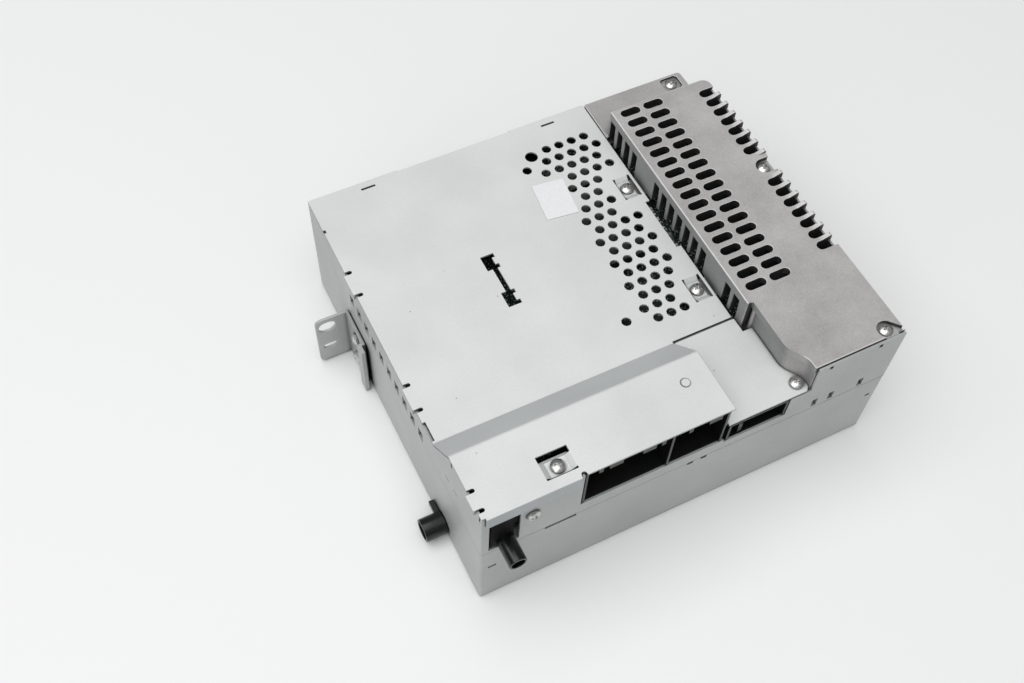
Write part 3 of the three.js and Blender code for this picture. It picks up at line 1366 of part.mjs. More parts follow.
function sinkTop() {
  const outline = [
    [SINK_LEFT, SINK_FRONT],
    [SINK_LEFT, SINK_CURVE_TOP_Y],
    [CURVE_NEAR_X - CURVE_OVERHANG, SINK_CURVE_TOP_Y],
    ...curvePoints(-CURVE_OVERHANG),
    [CURVE_FAR_X - CURVE_OVERHANG, SHEET + SEAT_GAP],
    [UNIT_WIDTH, SHEET + SEAT_GAP],
    [UNIT_WIDTH, NOTCH_REAR_FIRST - NOTCH_WIDTH / 2],
    [SINK_RIGHT, NOTCH_REAR_FIRST - NOTCH_WIDTH / 2],
    [SINK_RIGHT, SINK_FRONT],
  ];
  return prism(outline, 'z', [TIER_TOP - SINK_PLATE_THICK, TIER_TOP]);
}

function sinkLeftWall() {
  return block(from(SINK_LEFT, SINK_WALL), [SINK_CURVE_TOP_Y, SINK_FRONT], [SINK_WALL_BOTTOM, TIER_TOP]);
}

function sinkCurvedWall() {
  const outer = curvePoints(0);
  const inner = curvePoints(SINK_CURVE_WALL).reverse();
  const outline = [
    [CURVE_NEAR_X, SINK_CURVE_TOP_Y + SINK_WALL],
    ...outer,
    [CURVE_FAR_X, SINK_SIDE_REAR],
    [CURVE_FAR_X + SINK_CURVE_WALL, SINK_SIDE_REAR],
    ...inner,
    [CURVE_NEAR_X + SINK_CURVE_WALL, SINK_CURVE_TOP_Y + SINK_WALL],
  ];
  return prism(outline, 'z', [SINK_CURVE_BOTTOM, TIER_TOP]);
}

function sinkLug() {
  const y = SINK_CURVE_TOP_Y - SINK_LUG_WIDTH / 2;
  const x = CURVE_NEAR_X;
  return rod([x, y], SINK_LUG_WIDTH / 2, 'z', [SINK_WALL_BOTTOM, TIER_TOP], SCREW_SEGMENTS);
}

// Lugs under the cover's screw bridges, which the bridge screws bite into.
function coverLugs() {
  const top = COVER_TOP - BRIDGE_DROP - COVER_SHEET - SEAT_GAP;
  const bottom = top - COVER_LUG_THICK;
  return [BRIDGE_FRONT_Y, BRIDGE_REAR_Y].flatMap((y) => [
    block([COVER_LUG_LEFT, SINK_LEFT + SINK_WALL], around(y, COVER_LUG_LENGTH), [bottom, top]),
    block([SINK_LEFT, SINK_LEFT + SINK_WALL], around(y, COVER_LUG_LENGTH), [bottom, COVER_TOP]),
  ]);
}

function lugHoles() {
  const span = [COVER_TOP - EDGE_TAB_TALL, COVER_TOP];
  return [BRIDGE_FRONT_Y, BRIDGE_REAR_Y].map((y) =>
    rod([bridgeScrewX(), y], BITE_RADIUS, 'z', span, SCREW_SEGMENTS),
  );
}

function sinkSide() {
  return block([SINK_SIDE_LEFT, SINK_RIGHT], [SINK_SIDE_REAR, SINK_FRONT], [SINK_SIDE_BOTTOM, TIER_TOP]);
}

function rearHollow() {
  return block(
    [SINK_SIDE_LEFT + REAR_HOLLOW_WALL, SINK_RIGHT - REAR_HOLLOW_WALL],
    [REAR_HOLLOW_START, REAR_HOLLOW_FRONT],
    [SINK_SIDE_BOTTOM - OVERCUT, TIER_TOP - SINK_PLATE_THICK],
  );
}

function sinkFrontWall() {
  return block(
    [SINK_LEFT, SINK_RIGHT],
    [SINK_FRONT - SINK_WALL, SINK_FRONT],
    [COVER_TOP - LEDGE_THICK, TIER_TOP],
  );
}

function sinkLedge() {
  const level = [COVER_TOP - LEDGE_THICK, COVER_TOP];
  return joined([
    block([LEDGE_LEFT, SINK_RIGHT], [SINK_FRONT - SINK_WALL, LEDGE_FRONT], level),
    block([LEDGE_LEFT, SINK_RIGHT], [LEDGE_FRONT - SKIRT_THICK, LEDGE_FRONT], [SINK_SIDE_BOTTOM, COVER_TOP]),
    block([SINK_RIGHT - SKIRT_THICK, SINK_RIGHT], [SINK_FRONT, LEDGE_FRONT], [SINK_SIDE_BOTTOM, COVER_TOP]),
  ]);
}

function pillPlace(row) {
  return PILL_FIRST + row * PILL_PITCH;
}

// Plates under the top between the slots: air rises through the gaps that they leave.
function innerFins() {
  const fins = [];
  for (let row = 0; row < PILL_COUNT - 1; row += 1) {
    const y = pillPlace(row) + PILL_PITCH / 2;
    fins.push(
      block([SINK_LEFT, INNER_FIN_END], around(y, INNER_FIN_THICK), [INNER_FIN_BOTTOM, TIER_TOP]),
    );
  }
  return fins;
}

function sinkPills() {
  const down = [TIER_TOP - SINK_PLATE_THICK - OVERCUT, TIER_TOP + OVERCUT];
  const slots = [];
  for (let row = 0; row < PILL_COUNT; row += 1) {
    for (const x of [PILL_LEFT_COLUMN, PILL_RIGHT_COLUMN]) {
      slots.push(prism(pill([x, pillPlace(row)], PILL_LENGTH, PILL_WIDTH, PILL_SEGMENTS), 'z', down));
    }
  }
  return slots;
}

function sideWindows() {
  const windows = [];
  for (let row = 0; row < PILL_COUNT; row += 1) {
    if (!SOLID_ROWS.includes(row)) {
      windows.push(
        block(
          [SINK_LEFT - OVERCUT, SINK_LEFT + SINK_WALL + OVERCUT],
          around(pillPlace(row), WINDOW_WIDTH),
          [SINK_WALL_BOTTOM - OVERCUT, WINDOW_TOP],
        ),
      );
    }
  }
  return windows;
}

function notchPlaces() {
  const frontCount = 1 + Math.floor((SINK_FRONT - NOTCH_END_MARGIN - NOTCH_FRONT_FIRST) / NOTCH_PITCH);
  const places = [];
  for (let step = 0; step < NOTCH_COUNT; step += 1) {
    places.push(NOTCH_REAR_FIRST + step * NOTCH_PITCH);
  }
  for (let step = 0; step < frontCount; step += 1) {
    places.push(NOTCH_FRONT_FIRST + step * NOTCH_PITCH);
  }
  return places;
}

// Each notch runs all the way down inside a thin web that ties the fins together below their noses.
function rimNotches() {
  const down = [SINK_SIDE_BOTTOM - OVERCUT, TIER_TOP + OVERCUT];
  const overWeb = [TIER_TOP - RIM_WEB_DROP, TIER_TOP + OVERCUT];
  const root = FIN_ROOT + NOTCH_WIDTH / 2;
  return notchPlaces().flatMap((y) => [
    block([root, SINK_RIGHT - RIM_WEB_THICK], around(y, NOTCH_WIDTH), down),
    block([root, UNIT_WIDTH + OVERCUT], around(y, NOTCH_WIDTH), overWeb),
    rod([root, y], NOTCH_WIDTH / 2, 'z', down, SCREW_SEGMENTS),
  ]);
}

// The top of each fin climbs a little towards the rim and ends in a blunt nose.
function finTips() {
  const outline = [
    [SINK_RIGHT - FIN_TIP_LENGTH, TIER_TOP - FIN_NOSE_TALL],
    [UNIT_WIDTH, TIER_TOP - FIN_NOSE_TALL],
    [UNIT_WIDTH, TIER_TOP + FIN_TIP_RISE - FIN_TIP_DROP],
    [UNIT_WIDTH - FIN_TIP_FLAT, TIER_TOP + FIN_TIP_RISE],
    [SINK_RIGHT - FIN_TIP_LENGTH, TIER_TOP],
  ];
  return notchPlaces().map((y, place) => {
    const side = place < NOTCH_COUNT ? NOTCH_PITCH / 2 : -NOTCH_PITCH / 2;
    return prism(outline, 'y', around(y + side, NOTCH_PITCH - NOTCH_WIDTH));
  });
}

function screwPockets() {
  const up = TIER_TOP + FIN_TIP_RISE + OVERCUT;
  const hole = (x, y, seat) =>
    rod([x, y], SCREW_HOLE_RADIUS, 'z', [seat - SHANK_LENGTH - OVERCUT, seat + OVERCUT], SCREW_SEGMENTS);
  return [
    hole(BOSS_X, BOSS_Y, BOSS_SEAT),
    hole(CORNER_X, CORNER_Y, CORNER_SEAT),
    hole(LEDGE_SCREW_X, LEDGE_SCREW_Y, LEDGE_SEAT),
    rod([BOSS_X, BOSS_Y], BOSS_POCKET, 'z', [BOSS_SEAT, up], POCKET_SEGMENTS),
    block([BOSS_X, UNIT_WIDTH + OVERCUT], around(BOSS_Y, BOSS_POCKET + BOSS_POCKET), [BOSS_SEAT, up]),
    rod([CORNER_X, CORNER_Y], CORNER_POCKET, 'z', [CORNER_SEAT, up], POCKET_SEGMENTS),
    cornerPocketTip(up),
    prism(ledgePocketOutline(), 'z', [LEDGE_SEAT, up]),
  ];
}

// The corner pocket runs out to the corner in a point, like a drop.
function cornerPocketTip(up) {
  const tip = [UNIT_WIDTH + OVERCUT, CORNER_POCKET_TIP];
  const reach = Math.hypot(tip[0] - CORNER_X, tip[1] - CORNER_Y);
  const heading = Math.atan2(tip[1] - CORNER_Y, tip[0] - CORNER_X);
  const spread = Math.acos(CORNER_POCKET / reach);
  const touch = (angle) => [
    CORNER_X + CORNER_POCKET * Math.cos(angle),
    CORNER_Y + CORNER_POCKET * Math.sin(angle),
  ];
  const outline = [[CORNER_X, CORNER_Y], touch(heading - spread), tip, touch(heading + spread)];
  return prism(outline, 'z', [CORNER_SEAT, up]);
}

function ledgePocketOutline() {
  const points = [];
  const half = [LEDGE_POCKET_LENGTH / 2, LEDGE_POCKET_WIDTH / 2];
  for (let corner = 0; corner < 4; corner += 1) {
    const side = corner === 0 || corner === 3 ? 1 : -1;
    const end = corner < 2 ? 1 : -1;
    const x = LEDGE_SCREW_X + side * (half[0] - LEDGE_POCKET_CORNER);
    const y = LEDGE_SCREW_Y + end * (half[1] - LEDGE_POCKET_CORNER);
    for (let step = 0; step <= LEDGE_POCKET_STEPS; step += 1) {
      const angle = (Math.PI / 2) * (corner + step / LEDGE_POCKET_STEPS);
      points.push([x + LEDGE_POCKET_CORNER * Math.cos(angle), y + LEDGE_POCKET_CORNER * Math.sin(angle)]);
    }
  }
  return points;
}

// Mounting bracket

function bracketEarOutline() {
  const low = BRACKET_BOTTOM + BRACKET_EAR_CORNER;
  const high = BRACKET_BOTTOM + BRACKET_TALL - BRACKET_EAR_CORNER;
  const x = BRACKET_EAR_CORNER - BRACKET_REACH;
  const points = [[BRACKET_INNER, BRACKET_BOTTOM], [BRACKET_INNER, BRACKET_BOTTOM + BRACKET_TALL]];
  for (const [z, start] of [[high, Math.PI / 2], [low, Math.PI]]) {
    for (let step = 0; step <= BRACKET_CORNER_STEPS; step += 1) {
      const angle = start + (Math.PI / 2) * (step / BRACKET_CORNER_STEPS);
      points.push([x + BRACKET_EAR_CORNER * Math.cos(angle), z + BRACKET_EAR_CORNER * Math.sin(angle)]);
    }
  }
  return points;
}

function mountingBracket() {
  const rear = BRACKET_FRONT - BRACKET_LENGTH;
  const upright = from(BRACKET_BOTTOM, BRACKET_TALL);
  const step = rear + BRACKET_RIB_LENGTH - BRACKET_SHEET;
  const base = block([BRACKET_OUTER, BRACKET_INNER], [step, BRACKET_FRONT], upright);
  const ear = prism(bracketEarOutline(), 'y', [BRACKET_FRONT - BRACKET_SHEET, BRACKET_FRONT]);
  const riser = block([-BRACKET_RIB, BRACKET_INNER], from(step, BRACKET_SHEET), upright);
  const rib = block([-BRACKET_RIB, -BRACKET_RIB_LIFT], from(rear, BRACKET_RIB_LENGTH), upright);
  const through = [BRACKET_FRONT - BRACKET_SHEET - OVERCUT, BRACKET_FRONT + OVERCUT];
  const hole = prism(
    pill([BRACKET_HOLE_X, BRACKET_HOLE_Z], BRACKET_HOLE_LENGTH, BRACKET_HOLE_WIDTH, PILL_SEGMENTS),
    'y',
    through,
  );
  const slot = prism(
    pill([BRACKET_SLOT_X, BRACKET_SLOT_Z], BRACKET_SLOT_LENGTH, BRACKET_SLOT_WIDTH, PILL_SEGMENTS),
    'y',
    through,
  );
  const screwHoles = [BRACKET_SCREW_LOW, BRACKET_SCREW_HIGH].map((z) =>
    rod(
      [BRACKET_SCREW_Y, z],
      SCREW_HOLE_RADIUS,
      'x',
      [BRACKET_OUTER - OVERCUT, BRACKET_INNER + OVERCUT],
      SCREW_SEGMENTS,
    ),
  );
  return cutBy(joined([base, ear, riser, rib]), [hole, slot, ...screwHoles]);
}

// Screws

// A pan-head screw standing on the origin, its shank pointing down.
function uprightScrew() {
  const profile = [
    [0, -SHANK_LENGTH],
    [SHANK_RADIUS, -SHANK_LENGTH],
    [SHANK_RADIUS, 0],
    [HEAD_RADIUS, 0],
    [HEAD_RADIUS, HEAD_RIM],
    [HEAD_RADIUS * HEAD_FLAT_SHARE, HEAD_HEIGHT],
    [0, HEAD_HEIGHT],
  ];
  const body = turned(profile, [0, 0], 'z', SCREW_SEGMENTS);
  const depth = [HEAD_HEIGHT - RECESS_DEPTH, HEAD_HEIGHT + OVERCUT];
  const long = around(0, RECESS_LENGTH);
  const wide = around(0, RECESS_WIDTH);
  return cutBy(body, [block(long, wide, depth), block(wide, long, depth)]);
}

function screwUp(x, y, seat) {
  return uprightScrew().translate(x, y, seat + SCREW_GAP);
}

function screwRear(x, z) {
  return uprightScrew().rotate(90, 0, 0).translate(x, -SCREW_GAP, z);
}

function screwLeft(y, z) {
  return uprightScrew().rotate(0, -90, 0).translate(BRACKET_OUTER - SCREW_GAP, y, z);
}

// Antenna jacks

function rearAntennaJack() {
  const tube = rod(
    [REAR_JACK_X, REAR_JACK_Z],
    REAR_JACK_RADIUS,
    'y',
    [-REAR_JACK_REACH, SHEET],
    JACK_SEGMENTS,
  );
  const body = block(
    from(REAR_BLOCK_LEFT, REAR_BLOCK_WIDTH),
    from(HOUSING_FRONT, REAR_BLOCK_DEPTH),
    [REAR_BLOCK_BOTTOM, REAR_BLOCK_TOP],
  );
  const bore = rod(
    [REAR_JACK_X, REAR_JACK_Z],
    REAR_JACK_BORE,
    'y',
    [-REAR_JACK_REACH - OVERCUT, -REAR_JACK_FLOOR],
    JACK_SEGMENTS,
  );
  const seat = rod(
    [REAR_JACK_X, REAR_JACK_Z],
    CONTACT_RADIUS + CONTACT_GAP,
    'y',
    [-REAR_JACK_FLOOR - OVERCUT, -REAR_JACK_FLOOR + CONTACT_ROOT + CONTACT_GAP],
    ROD_SEGMENTS,
  );
  const flange = block(
    [REAR_JACK_X, REAR_FLANGE_RIGHT],
    from(SHEET + SEAT_GAP, REAR_FLANGE_THICK),
    around(REAR_SCREW_Z, REAR_FLANGE_TALL),
  );
  const bite = rod(
    [REAR_SCREW_X, REAR_SCREW_Z],
    BITE_RADIUS,
    'y',
    [SHEET - OVERCUT, REAR_BLOCK_DEPTH],
    SCREW_SEGMENTS,
  );
  return cutBy(joined([tube, body, flange]), [bore, seat, bite]);
}

function rearAntennaContact() {
  const tip = -REAR_JACK_FLOOR - (REAR_JACK_REACH - REAR_JACK_FLOOR) * CONTACT_LENGTH_SHARE;
  const root = -REAR_JACK_FLOOR + CONTACT_ROOT;
  return rod([REAR_JACK_X, REAR_JACK_Z], CONTACT_RADIUS, 'y', [tip, root], ROD_SEGMENTS);
}

function leftAntennaJack() {
  const centre = [LEFT_JACK_Y, LEFT_JACK_Z];
  const tube = rod(centre, LEFT_JACK_RADIUS, 'x', [-LEFT_JACK_REACH, -SEAT_GAP], JACK_SEGMENTS);
  const inside = SHEET + SEAT_GAP;
  const neck = rod(centre, LEFT_JACK_NECK, 'x', [-OVERCUT, inside + OVERCUT], JACK_SEGMENTS);
  const body = block(
    from(inside, LEFT_BLOCK_DEPTH),
    around(LEFT_JACK_Y, LEFT_BLOCK_WIDTH),
    [inside, LEFT_BLOCK_TOP],
  );
  const lug = block(
    [-LEFT_LUG_REACH, -SEAT_GAP],
    from(LEFT_LUG_START, LEFT_LUG_LENGTH),
    from(LEFT_LUG_BOTTOM, LEFT_LUG_TALL),
  );
  const hollow = [-LEFT_JACK_REACH - OVERCUT, -LEFT_JACK_FLOOR];
  const bore = rod(centre, LEFT_JACK_BORE, 'x', hollow, JACK_SEGMENTS);
  const seat = rod(
    centre,
    CONTACT_RADIUS + CONTACT_GAP,
    'x',
    [-LEFT_JACK_FLOOR - OVERCUT, -LEFT_JACK_FLOOR + CONTACT_ROOT + CONTACT_GAP],
    ROD_SEGMENTS,
  );
  return cutBy(joined([tube, neck, body, lug]), [bore, seat]);
}

function leftAntennaContact() {
  const tip = -LEFT_JACK_FLOOR - (LEFT_JACK_REACH - LEFT_JACK_FLOOR) * CONTACT_LENGTH_SHARE;
  const root = -LEFT_JACK_FLOOR + CONTACT_ROOT;
  return rod([LEFT_JACK_Y, LEFT_JACK_Z], CONTACT_RADIUS, 'x', [tip, root], ROD_SEGMENTS);
}

// Rear connectors

function mainHousingSides() {
  return [MAIN_OPENING_LEFT + HOUSING_GAP, TIER_WIDTH - COVER_SHEET - SEAT_GAP];
}

function smallHousingSides() {
  return [PLATE_LEFT + HOUSING_GAP, SMALL_OPENING_RIGHT - SEAT_GAP];
}

function mainConnectorHousing() {
  const sides = mainHousingSides();
  const bottom = MAIN_OPENING_BOTTOM - HOUSING_SINK - HOUSING_WALL;
  const shell = block(sides, from(HOUSING_FRONT, HOUSING_DEPTH), [bottom, MAIN_HOUSING_TOP]);
  const foot = block(
    [sides[0] + FOOT_MARGIN, sides[1] - FOOT_MARGIN],
    [FOOT_START, HOUSING_FRONT + HOUSING_DEPTH],
    [BOARD_SEAT, bottom + HOUSING_WALL],
  );
  const level = [bottom + HOUSING_WALL, MAIN_HOUSING_TOP - HOUSING_WALL];
  const depth = [HOUSING_FRONT - OVERCUT, HOUSING_FRONT + CAVITY_DEPTH];
  const leftBay = block([sides[0] + HOUSING_WALL, MAIN_DIVIDER_X - HOUSING_WALL / 2], depth, level);
  const rightBay = block([MAIN_DIVIDER_X + HOUSING_WALL / 2, sides[1] - HOUSING_WALL], depth, level);
  const step = stepBehindPanel(sides, bottom, MAIN_OPENING_BOTTOM);
  return joined([cutBy(joined([shell, foot]), [leftBay, rightBay, step]), ...connectorKeys()]);
}

// The housings' floors start behind the rear panel, below the edge of its opening.
function stepBehindPanel(sides, bottom, edge) {
  return block(
    [sides[0] - OVERCUT, sides[1] + OVERCUT],
    [HOUSING_FRONT - OVERCUT, SHEET + SEAT_GAP],
    [bottom - OVERCUT, edge + SEAT_GAP],
  );
}

function connectorKeys() {
  const roof = MAIN_HOUSING_TOP - HOUSING_WALL / 2;
  const drop = (MAIN_HOUSING_TOP - MAIN_OPENING_BOTTOM) * KEY_DROP_SHARE;
  const depth = from(HOUSING_FRONT, KEY_DEPTH);
  const wide = MAIN_OPENING_RIGHT - MAIN_OPENING_LEFT;
  const key = (share, width) =>
    block(around(MAIN_OPENING_LEFT + wide * share, width), depth, [roof - drop, roof]);
  return [
    ...KEY_WIDE_SHARES.map((share) => key(share, KEY_WIDE)),
    ...KEY_NARROW_SHARES.map((share) => key(share, KEY_NARROW)),
  ];
}

function smallConnectorHousing() {
  const sides = smallHousingSides();
  const bottom = SMALL_OPENING_BOTTOM - HOUSING_SINK - HOUSING_WALL;
  const shell = block(sides, from(HOUSING_FRONT, SMALL_HOUSING_DEPTH), [bottom, SMALL_HOUSING_TOP]);
  const foot = block(
    [sides[0] + FOOT_MARGIN, sides[1] - FOOT_MARGIN],
    [FOOT_START, HOUSING_FRONT + SMALL_HOUSING_DEPTH],
    [BOARD_SEAT, bottom + HOUSING_WALL],
  );
  const bay = block(
    [sides[0] + HOUSING_WALL, sides[1] - HOUSING_WALL],
    [HOUSING_FRONT - OVERCUT, HOUSING_FRONT + SMALL_HOUSING_DEPTH - HOUSING_WALL],
    [bottom + HOUSING_WALL, SMALL_HOUSING_TOP - HOUSING_WALL],
  );
  const rail = block(
    around(sides[0] + HOUSING_WALL + KEY_WIDE, KEY_NARROW),
    from(SHEET + SEAT_GAP, KEY_DEPTH),
    [bottom, SMALL_HOUSING_TOP - HOUSING_WALL - RAIL_DROP],
  );
  const step = stepBehindPanel(sides, bottom, SMALL_OPENING_BOTTOM);
  return joined([cutBy(joined([shell, foot]), [bay, step]), rail]);
}

// Two rows of contact pins on a thin back plate, pointing to the rear of the unit.
function contactPins(left, count, back, heights) {
  const right = left + (count - 1) * PIN_PITCH;
  const plate = block(
    [left - PIN_WIDTH, right + PIN_WIDTH],
    [back - PIN_BAR_THICK, back],
    [heights[0] - PIN_WIDTH, heights[1] + PIN_WIDTH],
  );
  const pins = [plate];
  for (const z of heights) {
    for (let place = 0; place < count; place += 1) {
      pins.push(
        block(around(left + place * PIN_PITCH, PIN_WIDTH), [back - PIN_LENGTH, back], around(z, PIN_WIDTH)),
      );
    }
  }
  return joined(pins);
}

function mainPinHeights() {
  const low = MAIN_OPENING_BOTTOM + HOUSING_WALL;
  const tall = MAIN_HOUSING_TOP - low;
  return [low + tall * PIN_ROW_LOW_SHARE, low + tall * PIN_ROW_HIGH_SHARE];
}

// As many pins as fit between two sides with a margin.
function pinCount(sides) {
  return Math.floor((sides[1] - sides[0] - PIN_MARGIN) / PIN_PITCH);
}

function centredPins(sides) {
  const count = pinCount(sides);
  const left = middle(sides) - ((count - 1) * PIN_PITCH) / 2;
  return contactPins(left, count, HOUSING_FRONT + CAVITY_DEPTH - SCREW_GAP, mainPinHeights());
}

function leftConnectorPins() {
  return centredPins([mainHousingSides()[0] + HOUSING_WALL, MAIN_DIVIDER_X - HOUSING_WALL / 2]);
}

function rightConnectorPins() {
  return centredPins([MAIN_DIVIDER_X + HOUSING_WALL / 2, mainHousingSides()[1] - HOUSING_WALL]);
}

function smallConnectorPins() {
  const sides = smallHousingSides();
  const right = sides[1] - HOUSING_WALL - SMALL_PIN_MARGIN;
  const count = 1 + Math.floor((right - sides[0] - RAIL_SPAN) / PIN_PITCH);
  const left = right - (count - 1) * PIN_PITCH;
  const back = HOUSING_FRONT + SMALL_HOUSING_DEPTH - HOUSING_WALL - SCREW_GAP;
  const low = SMALL_OPENING_BOTTOM + HOUSING_WALL;
  const tall = SMALL_HOUSING_TOP - low;
  const heights = [low + tall * PIN_ROW_LOW_SHARE, low + tall * PIN_ROW_HIGH_SHARE];
  return contactPins(left, count, back, heights);
}

// Main board and what stands on it

function mainBoard() {
  return block([BOARD_LEFT, BOARD_RIGHT], [BOARD_REAR, BOARD_FRONT], [BOARD_BOTTOM, BOARD_TOP]);
}

function tinShield() {
  const x = from(SHIELD_LEFT, SHIELD_WIDTH);
  const y = from(SHIELD_REAR, SHIELD_LENGTH);
  const can = block(x, y, from(BOARD_SEAT, SHIELD_TALL));
  const hollow = block(
    [x[0] + SHIELD_WALL, x[1] - SHIELD_WALL],
    [y[0] + SHIELD_WALL, y[1] - SHIELD_WALL],
    [BOARD_SEAT - OVERCUT, BOARD_SEAT + SHIELD_TALL - SHIELD_WALL],
  );
  const top = BOARD_SEAT + SHIELD_TALL;
  const slits = [];
  for (let place = 1; place <= SHIELD_SLIT_COUNT; place += 1) {
    const along = y[0] + (SHIELD_LENGTH * place) / (SHIELD_SLIT_COUNT + 1);
    slits.push(
      block(
        around(middle(x), SHIELD_SLIT_LENGTH),
        around(along, SHIELD_WALL * 2),
        [top - SHIELD_WALL - OVERCUT, top + OVERCUT],
      ),
    );
  }
  return cutBy(can, [hollow, ...slits]);
}

function pinHeader() {
  const x = from(HEADER_LEFT, HEADER_WIDTH);
  const body = block(x, from(HEADER_REAR, HEADER_LENGTH), from(BOARD_SEAT, HEADER_TALL));
  const pitch = HEADER_LENGTH / HEADER_PIN_COUNT;
  const top = BOARD_SEAT + HEADER_TALL;
  const pins = [];
  for (let place = 0; place < HEADER_PIN_COUNT; place += 1) {
    const y = HEADER_REAR + pitch * (place + 1 / 2);
    pins.push(
      block(around(middle(x), HEADER_PIN_WIDTH), around(y, HEADER_PIN_WIDTH), from(top, HEADER_PIN_TALL)),
    );
  }
  return joined([body, ...pins]);
}

function processor() {
  return block(
    from(PROCESSOR_LEFT, PROCESSOR_SIDE),
    from(PROCESSOR_REAR, PROCESSOR_SIDE),
    from(BOARD_SEAT, PROCESSOR_TALL),
  );
}

function amplifierChip() {
  const right = SINK_SIDE_LEFT - SEAT_GAP;
  return block(
    [right - AMPLIFIER_THICK, right],
    from(AMPLIFIER_REAR, AMPLIFIER_LENGTH),
    from(BOARD_SEAT, AMPLIFIER_TALL),
  );
}

function capacitor(place) {
  const groove = CAPACITOR_TALL * CAPACITOR_GROOVE_SHARE;
  const profile = [
    [0, BOARD_SEAT],
    [CAPACITOR_RADIUS, BOARD_SEAT],
    [CAPACITOR_RADIUS, BOARD_SEAT + groove],
    [CAPACITOR_RADIUS - CAPACITOR_GROOVE, BOARD_SEAT + groove + CAPACITOR_GROOVE],
    [CAPACITOR_RADIUS, BOARD_SEAT + groove + 2 * CAPACITOR_GROOVE],
    [CAPACITOR_RADIUS, BOARD_SEAT + CAPACITOR_TALL],
    [0, BOARD_SEAT + CAPACITOR_TALL],
  ];
  const centre = [CAPACITOR_X, CAPACITOR_FIRST_Y + place * CAPACITOR_PITCH];
  return turned(profile, centre, 'z', ROLLER_SEGMENTS);
}

// Front panel, bezel and dust flap

function frontPanel() {
  const inset = SHEET + SEAT_GAP;
  const outline = [
    [inset, inset],
    [UNIT_WIDTH - inset, inset],
    [UNIT_WIDTH - inset, SEAM_HEIGHT - SEAT_GAP],
    [PANEL_SPLIT, SEAM_HEIGHT - SEAT_GAP],
    [PANEL_SPLIT, COVER_UNDERSIDE - SEAT_GAP],
    [inset, COVER_UNDERSIDE - SEAT_GAP],
  ];
  const through = [PANEL_BACK - OVERCUT, PANEL_BACK + PANEL_SHEET + OVERCUT];
  const bezelHole = block(
    [BEZEL_LEFT - SEAT_GAP, BEZEL_RIGHT + SEAT_GAP],
    through,
    [BEZEL_BOTTOM - SEAT_GAP, BEZEL_TOP + SEAT_GAP],
  );
  const displayHole = block(
    [DISPLAY_LEFT - SEAT_GAP, DISPLAY_RIGHT + SEAT_GAP],
    through,
    [BOARD_SEAT - SEAT_GAP, BOARD_SEAT + DISPLAY_TALL + SEAT_GAP],
  );
  return cutBy(prism(outline, 'y', from(PANEL_BACK, PANEL_SHEET)), [bezelHole, displayHole]);
}

function slotBezel() {
  const inner = block([BEZEL_LEFT, BEZEL_RIGHT], [BEZEL_BACK, BEZEL_FRONT], [BEZEL_BOTTOM, BEZEL_TOP]);
  const rim = block(
    [BEZEL_LEFT - BEZEL_RIM, BEZEL_RIGHT + BEZEL_RIM],
    [PANEL_BACK + PANEL_SHEET + SEAT_GAP, BEZEL_FRONT],
    [BEZEL_BOTTOM - BEZEL_RIM, BEZEL_TOP + BEZEL_RIM],
  );
  const ears = [from(BEZEL_LEFT, EAR_WIDTH), from(BEZEL_RIGHT - EAR_WIDTH, EAR_WIDTH)].map((x) =>
    block(x, [EAR_BACK, BEZEL_BACK + OVERCUT], [EAR_BOTTOM, BEZEL_TOP]),
  );
  const slot = block(
    [SLOT_LEFT, SLOT_RIGHT],
    [BEZEL_BACK - OVERCUT, BEZEL_FRONT + OVERCUT],
    [SLOT_BOTTOM, SLOT_TOP],
  );
  const pinHole = rod(
    [FLAP_PIVOT_Y, FLAP_PIVOT_Z],
    FLAP_PIN_RADIUS + FLAP_PIN_GAP,
    'x',
    [BEZEL_LEFT - OVERCUT, BEZEL_RIGHT + OVERCUT],
    ROD_SEGMENTS,
  );
  return cutBy(joined([inner, rim, ...ears]), [slot, pinHole]);
}

function dustFlap() {
  const axis = [FLAP_PIVOT_Y, FLAP_PIVOT_Z];
  const pin = rod(axis, FLAP_PIN_RADIUS, 'x', [BEZEL_LEFT, BEZEL_RIGHT], ROD_SEGMENTS);
  const leaf = block(
    [BEZEL_LEFT + EAR_WIDTH + SEAT_GAP, BEZEL_RIGHT - EAR_WIDTH - SEAT_GAP],
    around(FLAP_PIVOT_Y, FLAP_THICK),
    [FLAP_BOTTOM, FLAP_PIVOT_Z],
  );
  return joined([pin, leaf]);
}

function displaySocket() {
  const shell = block(
    [DISPLAY_LEFT, DISPLAY_RIGHT],
    [DISPLAY_BACK, DISPLAY_FRONT],
    from(BOARD_SEAT, DISPLAY_TALL),
  );
  const cavity = block(
    [DISPLAY_LEFT + DISPLAY_WALL, DISPLAY_RIGHT - DISPLAY_WALL],
    [DISPLAY_BACK + DISPLAY_FLOOR, DISPLAY_FRONT + OVERCUT],
    [BOARD_SEAT + DISPLAY_WALL, BOARD_SEAT + DISPLAY_TALL - DISPLAY_WALL],
  );
  const tongue = block(
    [DISPLAY_LEFT + 2 * DISPLAY_WALL, DISPLAY_RIGHT - 2 * DISPLAY_WALL],
    [DISPLAY_BACK, DISPLAY_FRONT - DISPLAY_FLOOR],
    around(BOARD_SEAT + DISPLAY_TALL / 2, DISPLAY_WALL),
  );
  return joined([cutBy(shell, [cavity]), tongue]);
}

// Drive tray

